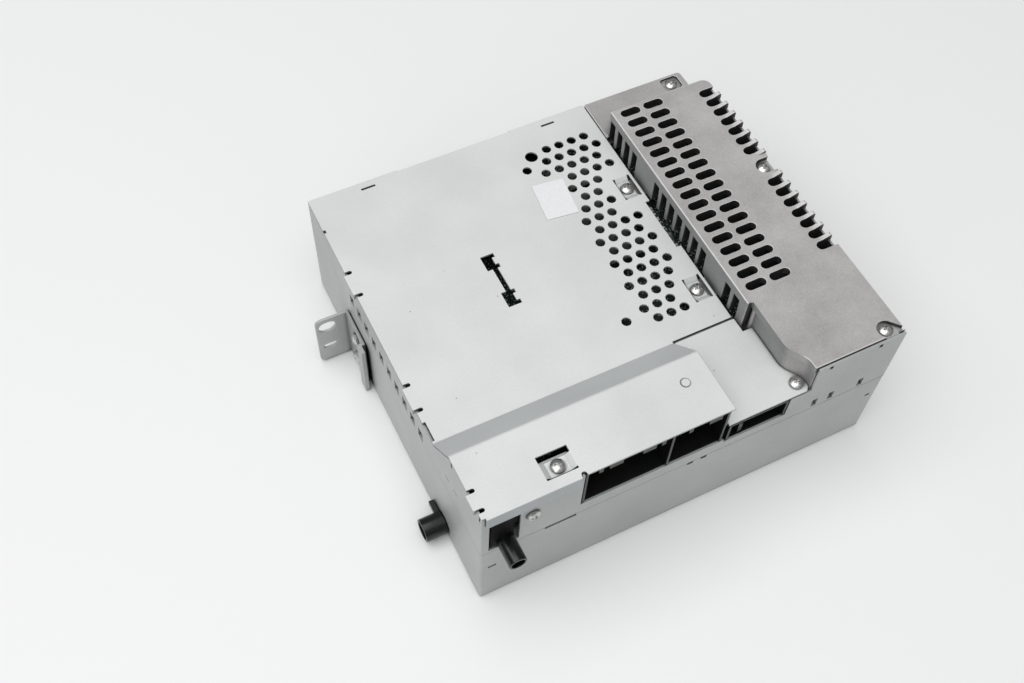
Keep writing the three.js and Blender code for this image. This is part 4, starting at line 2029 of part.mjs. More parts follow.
function driveTray() {
  const inner = DRIVE_SHEET;
  const box = block([DRIVE_LEFT, DRIVE_RIGHT], [DRIVE_REAR, DRIVE_FRONT], [DRIVE_BOTTOM, DRIVE_TOP]);
  const hollow = block(
    [DRIVE_LEFT + inner, DRIVE_RIGHT - inner],
    [DRIVE_REAR + inner, DRIVE_FRONT + OVERCUT],
    [DRIVE_FLOOR, DRIVE_TOP + OVERCUT],
  );
  const window = block(
    [DRIVE_LEFT + DRIVE_WINDOW_INSET, DRIVE_RIGHT - DRIVE_WINDOW_INSET],
    [DRIVE_REAR + DRIVE_WINDOW_INSET, DRIVE_FRONT - DRIVE_WINDOW_INSET],
    [DRIVE_BOTTOM - OVERCUT, DRIVE_FLOOR + OVERCUT],
  );
  const shaftHole = rod(
    [ROLLER_Y, ROLLER_Z],
    ROLLER_SHAFT_RADIUS + ROLLER_SHAFT_GAP,
    'x',
    [DRIVE_LEFT - OVERCUT, DRIVE_RIGHT + OVERCUT],
    ROD_SEGMENTS,
  );
  const motorHole = rod(
    [MOTOR_Y, MOTOR_Z],
    LOAD_HOLE_RADIUS,
    'x',
    [DRIVE_RIGHT - DRIVE_SHEET - OVERCUT, DRIVE_RIGHT + OVERCUT],
    ROD_SEGMENTS,
  );
  const idlerPin = rod(
    [IDLER_Y, IDLER_Z],
    IDLER_PIN_RADIUS,
    'x',
    [DRIVE_RIGHT - DRIVE_SHEET, GEAR_END + GEAR_OFFSET],
    ROD_SEGMENTS,
  );
  const pinHole = rod(
    [CLAMP_PIVOT_Y, CLAMP_PIVOT_Z],
    CLAMP_PIN_RADIUS + CLAMP_PIN_GAP,
    'x',
    [DRIVE_LEFT, DRIVE_RIGHT],
    ROD_SEGMENTS,
  );
  const shell = cutBy(box, [hollow, window, shaftHole, motorHole]);
  return joined([shell, cutBy(joined(clampEars()), [pinHole]), idlerPin]);
}

function clampEars() {
  return clampEarPlaces().map((x) =>
    block(x, [DRIVE_REAR, CLAMP_EAR_REACH], [CLAMP_EAR_BOTTOM, CLAMP_EAR_TOP]),
  );
}

function clampEarPlaces() {
  const reach = CLAMP_ROOT_WIDTH / 2 + SEAT_GAP;
  return [
    [DISC_X - reach - DRIVE_SHEET, DISC_X - reach],
    [DISC_X + reach, DISC_X + reach + DRIVE_SHEET],
  ];
}

function damperPlaces() {
  const near = DRIVE_LEFT + DAMPER_INSET;
  const far = DRIVE_RIGHT - DAMPER_INSET;
  const rear = DRIVE_REAR + DAMPER_INSET;
  const front = DRIVE_FRONT - DAMPER_INSET;
  return {
    rear_left: [near, rear],
    rear_right: [far, rear],
    front_left: [near, front],
    front_right: [far, front],
  };
}

function damper(centre) {
  const bottom = SHEET + SEAT_GAP;
  const top = DRIVE_BOTTOM - SEAT_GAP;
  const profile = [
    [0, bottom],
    [DAMPER_RADIUS, bottom],
    [DAMPER_WAIST, middle([bottom, top])],
    [DAMPER_RADIUS, top],
    [0, top],
  ];
  return turned(profile, centre, 'z', SCREW_SEGMENTS);
}

// Traverse deck with spindle and pickup

function traverseDeck() {
  const plate = block([DECK_LEFT, DECK_RIGHT], [DECK_REAR, DECK_FRONT], from(DECK_BOTTOM, DECK_THICK));
  const feet = [DECK_LEFT, DECK_RIGHT - DECK_FOOT].flatMap((x) =>
    [DECK_REAR, DECK_FRONT - DECK_FOOT].map((y) =>
      block(from(x, DECK_FOOT), from(y, DECK_FOOT), [DRIVE_FLOOR + SEAT_GAP, DECK_BOTTOM + DECK_THICK]),
    ),
  );
  const spindleHole = rod(
    [DISC_X, DISC_Y],
    DECK_HOLE,
    'z',
    [DECK_BOTTOM - OVERCUT, DECK_BOTTOM + DECK_THICK + OVERCUT],
    ROLLER_SEGMENTS,
  );
  const drop = ROD_Z - DECK_BOTTOM - DECK_THICK;
  const chord = Math.sqrt(SLED_MOTOR_RADIUS ** 2 - drop ** 2);
  const motorSlot = block(
    [ROD_START - SLED_MOTOR_LENGTH - SEAT_GAP, ROD_START],
    around(SCREW_AXIS_Y, 2 * (chord + SLED_MOTOR_GAP)),
    [DECK_BOTTOM - OVERCUT, DECK_BOTTOM + DECK_THICK + OVERCUT],
  );
  return cutBy(joined([plate, ...feet, ...rodHolders()]), [spindleHole, motorSlot, ...rodBores()]);
}

function rodHolders() {
  const level = [DECK_BOTTOM, ROD_HOLDER_TOP];
  const near = from(ROD_START, ROD_HOLDER);
  const far = [ROD_END - ROD_HOLDER, ROD_END];
  return [
    block(near, around(ROD_FRONT_Y, ROD_HOLDER_WIDTH), level),
    block(near, around(ROD_REAR_Y, ROD_HOLDER_WIDTH), level),
    block(far, around(ROD_FRONT_Y, ROD_HOLDER_WIDTH), level),
    block(far, around(ROD_REAR_Y, ROD_HOLDER_WIDTH), level),
    block(far, around(SCREW_AXIS_Y, ROD_HOLDER_WIDTH), level),
  ];
}

function rodBores() {
  const along = [ROD_START - OVERCUT, DECK_RIGHT + OVERCUT];
  const screwBore = THREAD_RADIUS + THREAD_OFFSET + ROD_GAP;
  return [
    rod([ROD_FRONT_Y, ROD_Z], ROD_RADIUS + ROD_GAP, 'x', along, ROD_SEGMENTS),
    rod([ROD_REAR_Y, ROD_Z], ROD_RADIUS + ROD_GAP, 'x', along, ROD_SEGMENTS),
    rod([SCREW_AXIS_Y, ROD_Z], screwBore, 'x', along, ROD_SEGMENTS),
  ];
}

function guideRod(y) {
  return rod([y, ROD_Z], ROD_RADIUS, 'x', [ROD_START, ROD_END], ROD_SEGMENTS);
}

// A round section set off the axis and turned as it advances, which leaves a single coarse thread.
function leadScrew() {
  const start = ROD_START + SEAT_GAP;
  const length = ROD_END - start;
  const turns = length / THREAD_PITCH;
  const steps = Math.round(turns * THREAD_STEPS_PER_TURN);
  const points = [];
  const faces = [];
  for (let step = 0; step <= steps; step += 1) {
    const turn = (2 * Math.PI * turns * step) / steps;
    const x = start + (length * step) / steps;
    for (let side = 0; side < THREAD_SIDES; side += 1) {
      const angle = (2 * Math.PI * side) / THREAD_SIDES;
      const y = THREAD_OFFSET * Math.cos(turn) + THREAD_RADIUS * Math.cos(angle);
      const z = THREAD_OFFSET * Math.sin(turn) + THREAD_RADIUS * Math.sin(angle);
      points.push(x, SCREW_AXIS_Y + y, ROD_Z + z);
    }
  }
  for (let step = 0; step < steps; step += 1) {
    for (let side = 0; side < THREAD_SIDES; side += 1) {
      const next = (side + 1) % THREAD_SIDES;
      const a = step * THREAD_SIDES + side;
      const b = step * THREAD_SIDES + next;
      faces.push(a, b, b + THREAD_SIDES, a, b + THREAD_SIDES, a + THREAD_SIDES);
    }
  }
  const last = steps * THREAD_SIDES;
  for (let side = 1; side < THREAD_SIDES - 1; side += 1) {
    faces.push(0, side + 1, side);
    faces.push(last, last + side, last + side + 1);
  }
  const geometry = new THREE.BufferGeometry();
  geometry.setAttribute('position', new THREE.Float32BufferAttribute(points, 3));
  geometry.setIndex(faces);
  return facingOut(solidOf(geometry), geometry);
}

function sledMotor() {
  const end = ROD_START - SEAT_GAP;
  return rod(
    [SCREW_AXIS_Y, ROD_Z],
    SLED_MOTOR_RADIUS,
    'x',
    [end - SLED_MOTOR_LENGTH + SEAT_GAP, end],
    ROLLER_SEGMENTS,
  );
}

function spindleMotor() {
  const top = DECK_BOTTOM - SEAT_GAP;
  const bore = SHAFT_RADIUS + SHAFT_GAP;
  const profile = [
    [0, SPINDLE_BOTTOM],
    [SPINDLE_RADIUS, SPINDLE_BOTTOM],
    [SPINDLE_RADIUS, top],
    [bore, top],
    [bore, SPINDLE_BOTTOM + SPINDLE_FLOOR],
    [0, SPINDLE_BOTTOM + SPINDLE_FLOOR],
  ];
  return turned(profile, [DISC_X, DISC_Y], 'z', DISC_SEGMENTS);
}

function turntable() {
  const profile = [
    [0, SHAFT_BOTTOM],
    [SHAFT_RADIUS, SHAFT_BOTTOM],
    [SHAFT_RADIUS, SEAT_TOP - SEAT_THICK],
    [SEAT_RADIUS, SEAT_TOP - SEAT_THICK],
    [SEAT_RADIUS, SEAT_TOP],
    [HUB_RADIUS, SEAT_TOP],
    [HUB_RADIUS, HUB_RIM],
    [HUB_TOP_RADIUS, HUB_TOP],
    [0, HUB_TOP],
  ];
  return turned(profile, [DISC_X, DISC_Y], 'z', DISC_SEGMENTS);
}

function sledCentre() {
  return SLED_START + SLED_LENGTH / 2;
}

function pickupSled() {
  const body = block(
    from(SLED_START, SLED_LENGTH),
    [ROD_REAR_Y - SLED_MARGIN, ROD_FRONT_Y + SLED_MARGIN],
    [SLED_BOTTOM, SLED_TOP],
  );
  const arm = block(
    around(sledCentre(), SLED_ARM_LENGTH),
    [SCREW_AXIS_Y - SLED_ARM_REACH, ROD_REAR_Y],
    [SLED_BOTTOM, SLED_TOP],
  );
  const along = [SLED_START - OVERCUT, SLED_START + SLED_LENGTH + OVERCUT];
  const bores = [
    rod([ROD_FRONT_Y, ROD_Z], ROD_RADIUS + ROD_GAP, 'x', along, ROD_SEGMENTS),
    rod([ROD_REAR_Y, ROD_Z], ROD_RADIUS + ROD_GAP, 'x', along, ROD_SEGMENTS),
    rod([SCREW_AXIS_Y, ROD_Z], THREAD_RADIUS + THREAD_OFFSET + ROD_GAP, 'x', along, ROD_SEGMENTS),
  ];
  const well = rod([sledCentre(), DISC_Y], LENS_WELL, 'z', [LENS_FLOOR, SLED_TOP + OVERCUT], ROLLER_SEGMENTS);
  return cutBy(joined([body, arm]), [...bores, well]);
}

function objectiveLens() {
  const bottom = LENS_FLOOR + SCREW_GAP;
  const rim = LENS_RADIUS * HEAD_FLAT_SHARE;
  const profile = [
    [0, bottom],
    [LENS_RADIUS, bottom],
    [LENS_RADIUS, SLED_TOP + SCREW_GAP],
    [rim, SLED_TOP + SCREW_GAP],
    [rim, middle([SLED_TOP, LENS_TOP])],
    [0, LENS_TOP],
  ];
  return turned(profile, [sledCentre(), DISC_Y], 'z', ROLLER_SEGMENTS);
}

// Clamp arm and puck

function clampArm() {
  const root = CLAMP_ROOT_WIDTH / 2;
  const nose = CLAMP_NOSE_WIDTH / 2;
  const end = DISC_Y + CLAMP_NOSE_REACH;
  const level = from(CLAMP_PLATE_BOTTOM, CLAMP_PLATE_THICK);
  const outline = [
    [DISC_X - root, CLAMP_PIVOT_Y],
    [DISC_X + root, CLAMP_PIVOT_Y],
    [DISC_X + nose, CLAMP_TAPER_Y],
    [DISC_X + nose, end],
    [DISC_X - nose, end],
    [DISC_X - nose, CLAMP_TAPER_Y],
  ];
  const ribs = [DISC_X - nose, DISC_X + nose - CLAMP_RIB_THICK].map((x) =>
    block(from(x, CLAMP_RIB_THICK), [CLAMP_TAPER_Y, end], [CLAMP_PLATE_BOTTOM, CLAMP_RIB_TOP]),
  );
  const ears = clampEarPlaces();
  const axis = [CLAMP_PIVOT_Y, CLAMP_PIVOT_Z];
  const pin = rod(axis, CLAMP_PIN_RADIUS, 'x', [ears[0][0], ears[1][1]], ROD_SEGMENTS);
  const hole = rod([DISC_X, DISC_Y], PUCK_NECK + PUCK_NECK_GAP, 'z', [PUCK_BOTTOM, PUCK_TOP], DISC_SEGMENTS);
  return cutBy(joined([prism(outline, 'z', level), ...ribs, pin]), [hole]);
}

function clampPuck() {
  const profile = [
    [0, PUCK_BOTTOM + PUCK_RECESS_DEPTH],
    [PUCK_RECESS, PUCK_BOTTOM + PUCK_RECESS_DEPTH],
    [PUCK_RECESS, PUCK_BOTTOM],
    [PUCK_RADIUS, PUCK_BOTTOM],
    [PUCK_RADIUS, PUCK_SHOULDER],
    [PUCK_NECK, PUCK_SHOULDER],
    [PUCK_NECK, PUCK_FLANGE_BOTTOM],
    [PUCK_FLANGE, PUCK_FLANGE_BOTTOM],
    [PUCK_FLANGE, PUCK_TOP],
    [0, PUCK_TOP],
  ];
  return turned(profile, [DISC_X, DISC_Y], 'z', DISC_SEGMENTS);
}

// Loading roller and gears

// A rubber tube that is thinner in the middle, so that it touches a disc near its edges only.
function loadingRoller() {
  const bore = ROLLER_SHAFT_RADIUS + ROLLER_SHAFT_GAP;
  const profile = [
    [bore, ROLLER_LEFT],
    [ROLLER_RADIUS, ROLLER_LEFT],
    [ROLLER_RADIUS * ROLLER_WAIST_SHARE, middle([ROLLER_LEFT, ROLLER_RIGHT])],
    [ROLLER_RADIUS, ROLLER_RIGHT],
    [bore, ROLLER_RIGHT],
    [bore, ROLLER_LEFT],
  ];
  return turned(profile, [ROLLER_Y, ROLLER_Z], 'x', ROLLER_SEGMENTS);
}

function rollerShaft() {
  const span = [DRIVE_LEFT - ROLLER_SHAFT_REACH, GEAR_END + ROLLER_SHAFT_REACH];
  return rod([ROLLER_Y, ROLLER_Z], ROLLER_SHAFT_RADIUS, 'x', span, ROD_SEGMENTS);
}

// A spur gear outline in the (Y, Z) plane, one tooth pointing along the start angle.
function gearOutline(centre, teeth, startAngle) {
  const pitch = (GEAR_MODULE * teeth) / 2;
  const tip = pitch + GEAR_MODULE * (1 - GEAR_BACKLASH);
  const root = pitch - GEAR_MODULE * (1 + GEAR_BACKLASH);
  const step = (2 * Math.PI) / teeth;
  const points = [];
  for (let tooth = 0; tooth < teeth; tooth += 1) {
    const angle = startAngle + tooth * step;
    const corners = [
      [root, -GEAR_ROOT_SHARE],
      [tip, -GEAR_TIP_SHARE],
      [tip, GEAR_TIP_SHARE],
      [root, GEAR_ROOT_SHARE],
    ];
    for (const [radius, share] of corners) {
      const at = angle + share * step;
      points.push([centre[0] + radius * Math.cos(at), centre[1] + radius * Math.sin(at)]);
    }
  }
  return points;
}

function gearBlank(centre, teeth, startAngle) {
  return prism(gearOutline(centre, teeth, startAngle), 'x', [GEAR_START, GEAR_END]);
}

// The roller's gear points a tooth at the idler, and the idler's two partners meet gaps in it.
function rollerGear() {
  const towards = Math.PI + IDLER_SLOPE;
  const bore = rod(
    [ROLLER_Y, ROLLER_Z],
    ROLLER_SHAFT_RADIUS + ROLLER_SHAFT_GAP,
    'x',
    [GEAR_START - OVERCUT, GEAR_END + OVERCUT],
    ROD_SEGMENTS,
  );
  return cutBy(gearBlank([ROLLER_Y, ROLLER_Z], ROLLER_TEETH, towards), [bore]);
}

function idlerPhase() {
  return IDLER_SLOPE + Math.PI / IDLER_TEETH;
}

function idlerGear() {
  const bore = rod(
    [IDLER_Y, IDLER_Z],
    IDLER_PIN_RADIUS + ROLLER_SHAFT_GAP,
    'x',
    [GEAR_START - OVERCUT, GEAR_END + OVERCUT],
    ROD_SEGMENTS,
  );
  return cutBy(gearBlank([IDLER_Y, IDLER_Z], IDLER_TEETH, idlerPhase()), [bore]);
}

function motorGear() {
  const step = (2 * Math.PI) / IDLER_TEETH;
  const towards = Math.PI + MOTOR_SLOPE;
  const offset = (towards - idlerPhase()) / step;
  const fromGap = (offset - Math.floor(offset) - 1 / 2) * step;
  const phase = MOTOR_SLOPE + (fromGap * IDLER_TEETH) / MOTOR_TEETH;
  const shaft = rod(
    [MOTOR_Y, MOTOR_Z],
    LOAD_SHAFT_RADIUS,
    'x',
    [DRIVE_RIGHT - DRIVE_SHEET - LOAD_SHAFT_ROOT, GEAR_END + ROLLER_SHAFT_REACH],
    ROD_SEGMENTS,
  );
  return joined([gearBlank([MOTOR_Y, MOTOR_Z], MOTOR_TEETH, phase), shaft]);
}

function loadingMotor() {
  const end = DRIVE_RIGHT - DRIVE_SHEET - SEAT_GAP;
  const start = end - LOAD_MOTOR_LENGTH;
  const bore = LOAD_SHAFT_RADIUS + SHAFT_GAP;
  const floor = end - LOAD_SHAFT_ROOT - SEAT_GAP;
  const profile = [
    [0, start],
    [LOAD_MOTOR_RADIUS, start],
    [LOAD_MOTOR_RADIUS, end],
    [bore, end],
    [bore, floor],
    [0, floor],
  ];
  return turned(profile, [MOTOR_Y, MOTOR_Z], 'x', ROLLER_SEGMENTS);
}

function discGuide() {
  const x = [DRIVE_LEFT + DRIVE_SHEET + SEAT_GAP, DRIVE_RIGHT - DRIVE_SHEET - SEAT_GAP];
  const plate = block(x, [GUIDE_REAR, GUIDE_FRONT], from(GUIDE_BOTTOM, GUIDE_SHEET));
  const rearRib = block(x, from(GUIDE_REAR, GUIDE_SHEET), from(GUIDE_BOTTOM, GUIDE_RIB + GUIDE_SHEET));
  const frontRib = block(
    x,
    [GUIDE_FRONT - GUIDE_SHEET, GUIDE_FRONT],
    from(GUIDE_BOTTOM, GUIDE_RIB + GUIDE_SHEET),
  );
  return joined([plate, rearRib, frontRib]);
}

// Assembly

const unit = new THREE.Group();
unit.name = 'navigation_radio';

function addPiece(name, solid, look) {
  const made = solid.translate(-UNIT_WIDTH / 2, -UNIT_DEPTH / 2, 0).getMesh();
  const geometry = new THREE.BufferGeometry();
  geometry.setAttribute('position', new THREE.BufferAttribute(Float32Array.from(made.vertProperties), 3));
  geometry.setIndex(new THREE.BufferAttribute(Uint32Array.from(made.triVerts), 1));
  geometry.computeVertexNormals();
  const mesh = new THREE.Mesh(geometry, new THREE.MeshStandardMaterial(look));
  mesh.name = name;
  unit.add(mesh);
}

addPiece('lower_chassis', lowerChassis(), GALVANISED);
addPiece('upper_frame', upperFrame(), GALVANISED);
addPiece('top_cover', topCover(), GALVANISED);
addPiece('right_plate', rightPlate(), GALVANISED);
addPiece('heat_sink', heatSink(), CASTING);
addPiece('mounting_bracket', mountingBracket(), GALVANISED);
addPiece('blank_label', label(), PAPER);

const BRIDGE_SEAT = COVER_TOP - BRIDGE_DROP;
addPiece('screw_bridge_front', screwUp(bridgeScrewX(), BRIDGE_FRONT_Y, BRIDGE_SEAT), BRIGHT_STEEL);
addPiece('screw_bridge_rear', screwUp(bridgeScrewX(), BRIDGE_REAR_Y, BRIDGE_SEAT), BRIGHT_STEEL);
addPiece('screw_tier', screwUp(...tierScrewPlace(), TIER_TOP - BRIDGE_DROP), BRIGHT_STEEL);
addPiece('screw_right_plate', screwUp(PLATE_SCREW_X, PLATE_SCREW_Y, COVER_TOP), BRIGHT_STEEL);
addPiece('screw_sink_boss', screwUp(BOSS_X, BOSS_Y, BOSS_SEAT), BRIGHT_STEEL);
addPiece('screw_sink_corner', screwUp(CORNER_X, CORNER_Y, CORNER_SEAT), BRIGHT_STEEL);
addPiece('screw_sink_ledge', screwUp(LEDGE_SCREW_X, LEDGE_SCREW_Y, LEDGE_SEAT), BRIGHT_STEEL);
addPiece('screw_rear_panel', screwRear(REAR_SCREW_X, REAR_SCREW_Z), BRIGHT_STEEL);
addPiece('screw_bracket_low', screwLeft(BRACKET_SCREW_Y, BRACKET_SCREW_LOW), BRIGHT_STEEL);
addPiece('screw_bracket_high', screwLeft(BRACKET_SCREW_Y, BRACKET_SCREW_HIGH), BRIGHT_STEEL);

addPiece('rear_antenna_jack', rearAntennaJack(), BLACK_PLASTIC);
addPiece('rear_antenna_contact', rearAntennaContact(), GOLD_CONTACT);
addPiece('left_antenna_jack', leftAntennaJack(), BLACK_PLASTIC);
addPiece('left_antenna_contact', leftAntennaContact(), GOLD_CONTACT);
addPiece('main_connector_housing', mainConnectorHousing(), BLACK_PLASTIC);
addPiece('main_connector_pins_left', leftConnectorPins(), GOLD_CONTACT);
addPiece('main_connector_pins_right', rightConnectorPins(), GOLD_CONTACT);
addPiece('small_connector_housing', smallConnectorHousing(), BLACK_PLASTIC);
addPiece('small_connector_pins', smallConnectorPins(), GOLD_CONTACT);

addPiece('main_board', mainBoard(), BOARD_GREEN);
addPiece('tin_shield', tinShield(), TIN);
addPiece('pin_header', pinHeader(), GREY_PLASTIC);
addPiece('processor', processor(), BLACK_PLASTIC);
addPiece('amplifier_chip', amplifierChip(), BLACK_PLASTIC);
addPiece('capacitor_rear', capacitor(0), BLACK_PLASTIC);
addPiece('capacitor_front', capacitor(1), BLACK_PLASTIC);

addPiece('front_panel', frontPanel(), GALVANISED);
addPiece('slot_bezel', slotBezel(), BLACK_PLASTIC);
addPiece('dust_flap', dustFlap(), GREY_PLASTIC);
addPiece('display_socket', displaySocket(), BLACK_PLASTIC);

addPiece('drive_tray', driveTray(), GALVANISED);
for (const [corner, centre] of Object.entries(damperPlaces())) {
  addPiece('damper_' + corner, damper(centre), RUBBER);
}
addPiece('traverse_deck', traverseDeck(), GALVANISED);
addPiece('spindle_motor', spindleMotor(), BRIGHT_STEEL);
addPiece('turntable', turntable(), BLACK_PLASTIC);
addPiece('guide_rod_front', guideRod(ROD_FRONT_Y), BRIGHT_STEEL);
addPiece('guide_rod_rear', guideRod(ROD_REAR_Y), BRIGHT_STEEL);
addPiece('lead_screw', leadScrew(), BRIGHT_STEEL);
addPiece('sled_motor', sledMotor(), BRIGHT_STEEL);
addPiece('pickup_sled', pickupSled(), GREY_PLASTIC);
addPiece('objective_lens', objectiveLens(), GLASS);
addPiece('clamp_arm', clampArm(), GALVANISED);
addPiece('clamp_puck', clampPuck(), WHITE_PLASTIC);
addPiece('loading_roller', loadingRoller(), RUBBER);
addPiece('roller_shaft', rollerShaft(), BRIGHT_STEEL);
addPiece('roller_gear', rollerGear(), WHITE_PLASTIC);
addPiece('idler_gear', idlerGear(), WHITE_PLASTIC);
addPiece('motor_gear', motorGear(), WHITE_PLASTIC);
addPiece('loading_motor', loadingMotor(), BRIGHT_STEEL);
addPiece('disc_guide', discGuide(), GALVANISED);

export default unit;
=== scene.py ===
# %% [markdown]
# # A car navigation radio, seen from behind
# The unit is a flat steel box from behind a dashboard. Its skin is zinc-plated sheet, its right flank is a
# cast heat sink, and its sockets are black plastic. The solids of the construction model carry all the real
# shapes. This file rounds their edges, gives each one a finish, and adds the small details that catch the
# light.

import json
import math

import bmesh
import bpy
import numpy as np
from mathutils import Matrix, Vector
from mathutils.geometry import delaunay_2d_cdt


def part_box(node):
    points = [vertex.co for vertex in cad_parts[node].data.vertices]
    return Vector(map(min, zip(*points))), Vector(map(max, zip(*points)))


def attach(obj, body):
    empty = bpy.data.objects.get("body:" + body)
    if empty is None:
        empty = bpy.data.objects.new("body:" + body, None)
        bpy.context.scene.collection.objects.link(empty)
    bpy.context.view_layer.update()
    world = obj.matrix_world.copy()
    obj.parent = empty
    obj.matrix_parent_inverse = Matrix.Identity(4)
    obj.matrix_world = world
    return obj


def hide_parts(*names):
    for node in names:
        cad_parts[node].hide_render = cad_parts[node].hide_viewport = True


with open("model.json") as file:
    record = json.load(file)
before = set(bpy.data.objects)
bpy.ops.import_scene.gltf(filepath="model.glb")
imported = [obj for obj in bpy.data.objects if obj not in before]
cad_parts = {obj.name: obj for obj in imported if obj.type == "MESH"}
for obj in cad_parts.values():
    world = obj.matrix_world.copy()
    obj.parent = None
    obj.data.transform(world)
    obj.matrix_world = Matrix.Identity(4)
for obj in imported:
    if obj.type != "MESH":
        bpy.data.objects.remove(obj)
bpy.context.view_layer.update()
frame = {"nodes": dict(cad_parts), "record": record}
MM = 0.001


# %% [markdown]
# ## The camera
# The photograph was taken from the rear left, from above, with a normal lens. Its place was found by
# matching the edges of the box. A camera looks along its own -Z axis, so its three axes make the columns of
# a turning matrix.

# %% Camera
CAMERA_PLACE = Vector((-165.9, -234.6, 452.6)) * MM
LOOK = Vector((0.2622, 0.4702, -0.8427)).normalized()
PICTURE_RIGHT = Vector((0.89519, -0.44465, 0.03046)).normalized()
LENS_MM = 42.81
SENSOR_MM = 36.0


def camera_matrix(place, look, right):
    """The right axis, the up axis and the backward axis side by side, then the camera's place."""
    back = -look
    up = back.cross(right).normalized()
    side = up.cross(back).normalized()
    turning = Matrix((side, up, back)).transposed()
    return Matrix.Translation(place) @ turning.to_4x4()


scene = bpy.context.scene
camera_data = bpy.data.cameras.new("photo_camera")
camera_data.lens = LENS_MM
camera_data.sensor_width = SENSOR_MM
camera = bpy.data.objects.new("photo_camera", camera_data)
camera.matrix_world = camera_matrix(CAMERA_PLACE, LOOK, PICTURE_RIGHT)
scene.collection.objects.link(camera)
scene.camera = camera
scene.view_settings.view_transform = "Standard"
print("camera at", tuple(round(v, 3) for v in CAMERA_PLACE), "lens", LENS_MM)


# %% [markdown]
# ## Node helpers
# Colours are written as the hex values that a paint program shows, and one function turns them to linear
# light. A texture's scale counts how often its pattern fits in a metre, so another works it out from the
# pattern's spacing on the real thing. A material in Blender is a small graph. One function adds a node of
# any kind, sets what it is given and joins its inputs. Nearly every finish ends the same way, so one more
# joins colour, roughness and bump to the shader, which a new material has already.

# %% Colours and scales
SRGB_FOOT = 0.04045


def linear(hex_colour):
    """Each channel of an sRGB colour, undone from its screen curve, with alpha 1 behind it."""
    channels = np.array([int(hex_colour[i:i + 2], 16) for i in (1, 3, 5)]) / 255.0
    low = channels / 12.92
    high = ((channels + 0.055) / 1.055) ** 2.4
    return tuple(np.where(channels <= SRGB_FOOT, low, high)) + (1.0,)


def per_metre(spacing_mm):
    """How often a spacing in millimetres fits in a metre."""
    return 1.0 / (spacing_mm * MM)


print("mid grey is", round(linear("#808080")[0], 3), "in linear light")


# %% Adding a node
def add_node(graph, kind, settings=None, stops=(), **inputs):
    """One shader node of a kind, with its own settings, the (place, colour) stops of its ramp, and its inputs.

    An input is a value, or an output to join. It goes by its socket's name, with _ for a space. Where several
    sockets share a name, it goes by _ and the socket's number."""
    node = graph.nodes.new("ShaderNode" + kind)
    for name, value in (settings or {}).items():
        setattr(node, name, value)
    there_already = {0: 0, len(stops) - 1: -1}
    for number, (share, colour) in enumerate(stops):
        band = node.color_ramp.elements
        stop = band[there_already[number]] if number in there_already else band.new(share)
        stop.position, stop.color = share, linear(colour)
    for name, value in inputs.items():
        key = int(name[1:]) if name[0] == "_" else name.replace("_", " ")
        socket = node.inputs[key]
        if isinstance(value, bpy.types.NodeSocket):
            graph.links.new(value, socket)
        else:
            socket.default_value = value
    return node


# %% Starting and closing a material
BLEND = {"data_type": "RGBA"}
TINT = {"data_type": "RGBA", "blend_type": "MULTIPLY"}


def empty_material(name):
    """A material that holds only its Principled shader, with its graph and its coordinates."""
    material = bpy.data.materials.new(name)
    material.use_nodes = True
    graph = material.node_tree
    return material, graph, graph.nodes["Principled BSDF"], add_node(graph, "TexCoord").outputs


def coordinates(graph):
    """The coordinates that a material already has."""
    return next(node for node in graph.nodes if node.type == "TEX_COORD").outputs


def join_surface(graph, shader, colour, gloss, bump=None):
    """Joins a colour, a roughness and a bump to the shader.

    The roughness follows a pattern between two values. The bump has a pattern, a strength and a height."""
    graph.links.new(colour, shader.inputs["Base Color"])
    pattern, smooth, rough = gloss
    roughness = add_node(graph, "MapRange", Value=pattern, To_Min=smooth, To_Max=rough)
    graph.links.new(roughness.outputs["Result"], shader.inputs["Roughness"])
    if bump:
        pattern, strength, rise = bump
        relief = add_node(graph, "Bump", Strength=strength, Distance=rise, Height=pattern)
        graph.links.new(relief.outputs["Normal"], shader.inputs["Normal"])


# %% [markdown]
# ## The table
# The unit lies on a white painted table. The floor is one square, far larger than the picture, so that no
# edge of it shows there and the shadow lies on one even colour. The paint is pale but not pure white, or it
# would clip.

# %% Table
FLOOR_HALF = 3.0
FLOOR_COLOUR = "#f0f0f0"
FLOOR_ROUGHNESS = 0.6


def floor_square(name, half):
    """Four corners of a square at floor level."""
    corners = [(-half, -half, 0), (half, -half, 0), (half, half, 0), (-half, half, 0)]
    mesh = bpy.data.meshes.new(name)
    mesh.from_pydata(corners, [], [(0, 1, 2, 3)])
    return bpy.data.objects.new(name, mesh)


floor = floor_square("table_top", FLOOR_HALF)
scene.collection.objects.link(floor)
table_white, _, table_shader, _ = empty_material("painted_table_top")
table_shader.inputs["Base Color"].default_value = linear(FLOOR_COLOUR)
table_shader.inputs["Roughness"].default_value = FLOOR_ROUGHNESS
floor.data.materials.append(table_white)
print("table:", 2 * FLOOR_HALF, "m wide")


# %% [markdown]
# ## Lamps
# The light is flat daylight. A wide soft panel hangs overhead, a little behind the unit, so that slopes
# facing the front are a shade darker than the top. A small weak panel at the rear left stands for a window.

# %% Lamps
PANEL_SIZE = 2.4
PANEL_PLACE = Vector((-0.62, -0.1, 2.0))
PANEL_POWER = 39.0
FILL_PLACE = Vector((-1.5, -1.3, 1.0))
FILL_SIZE = 0.9
FILL_POWER = 3.0


def soft_panel(name, place, size, power):
    """A square lamp that looks at the middle of the unit."""
    lamp = bpy.data.lights.new(name, "AREA")
    lamp.shape = "SQUARE"
    lamp.size = size
    lamp.energy = power
    panel = bpy.data.objects.new(name, lamp)
    panel.location = place
    panel.rotation_euler = (-place).to_track_quat("-Z", "Y").to_euler()
    scene.collection.objects.link(panel)


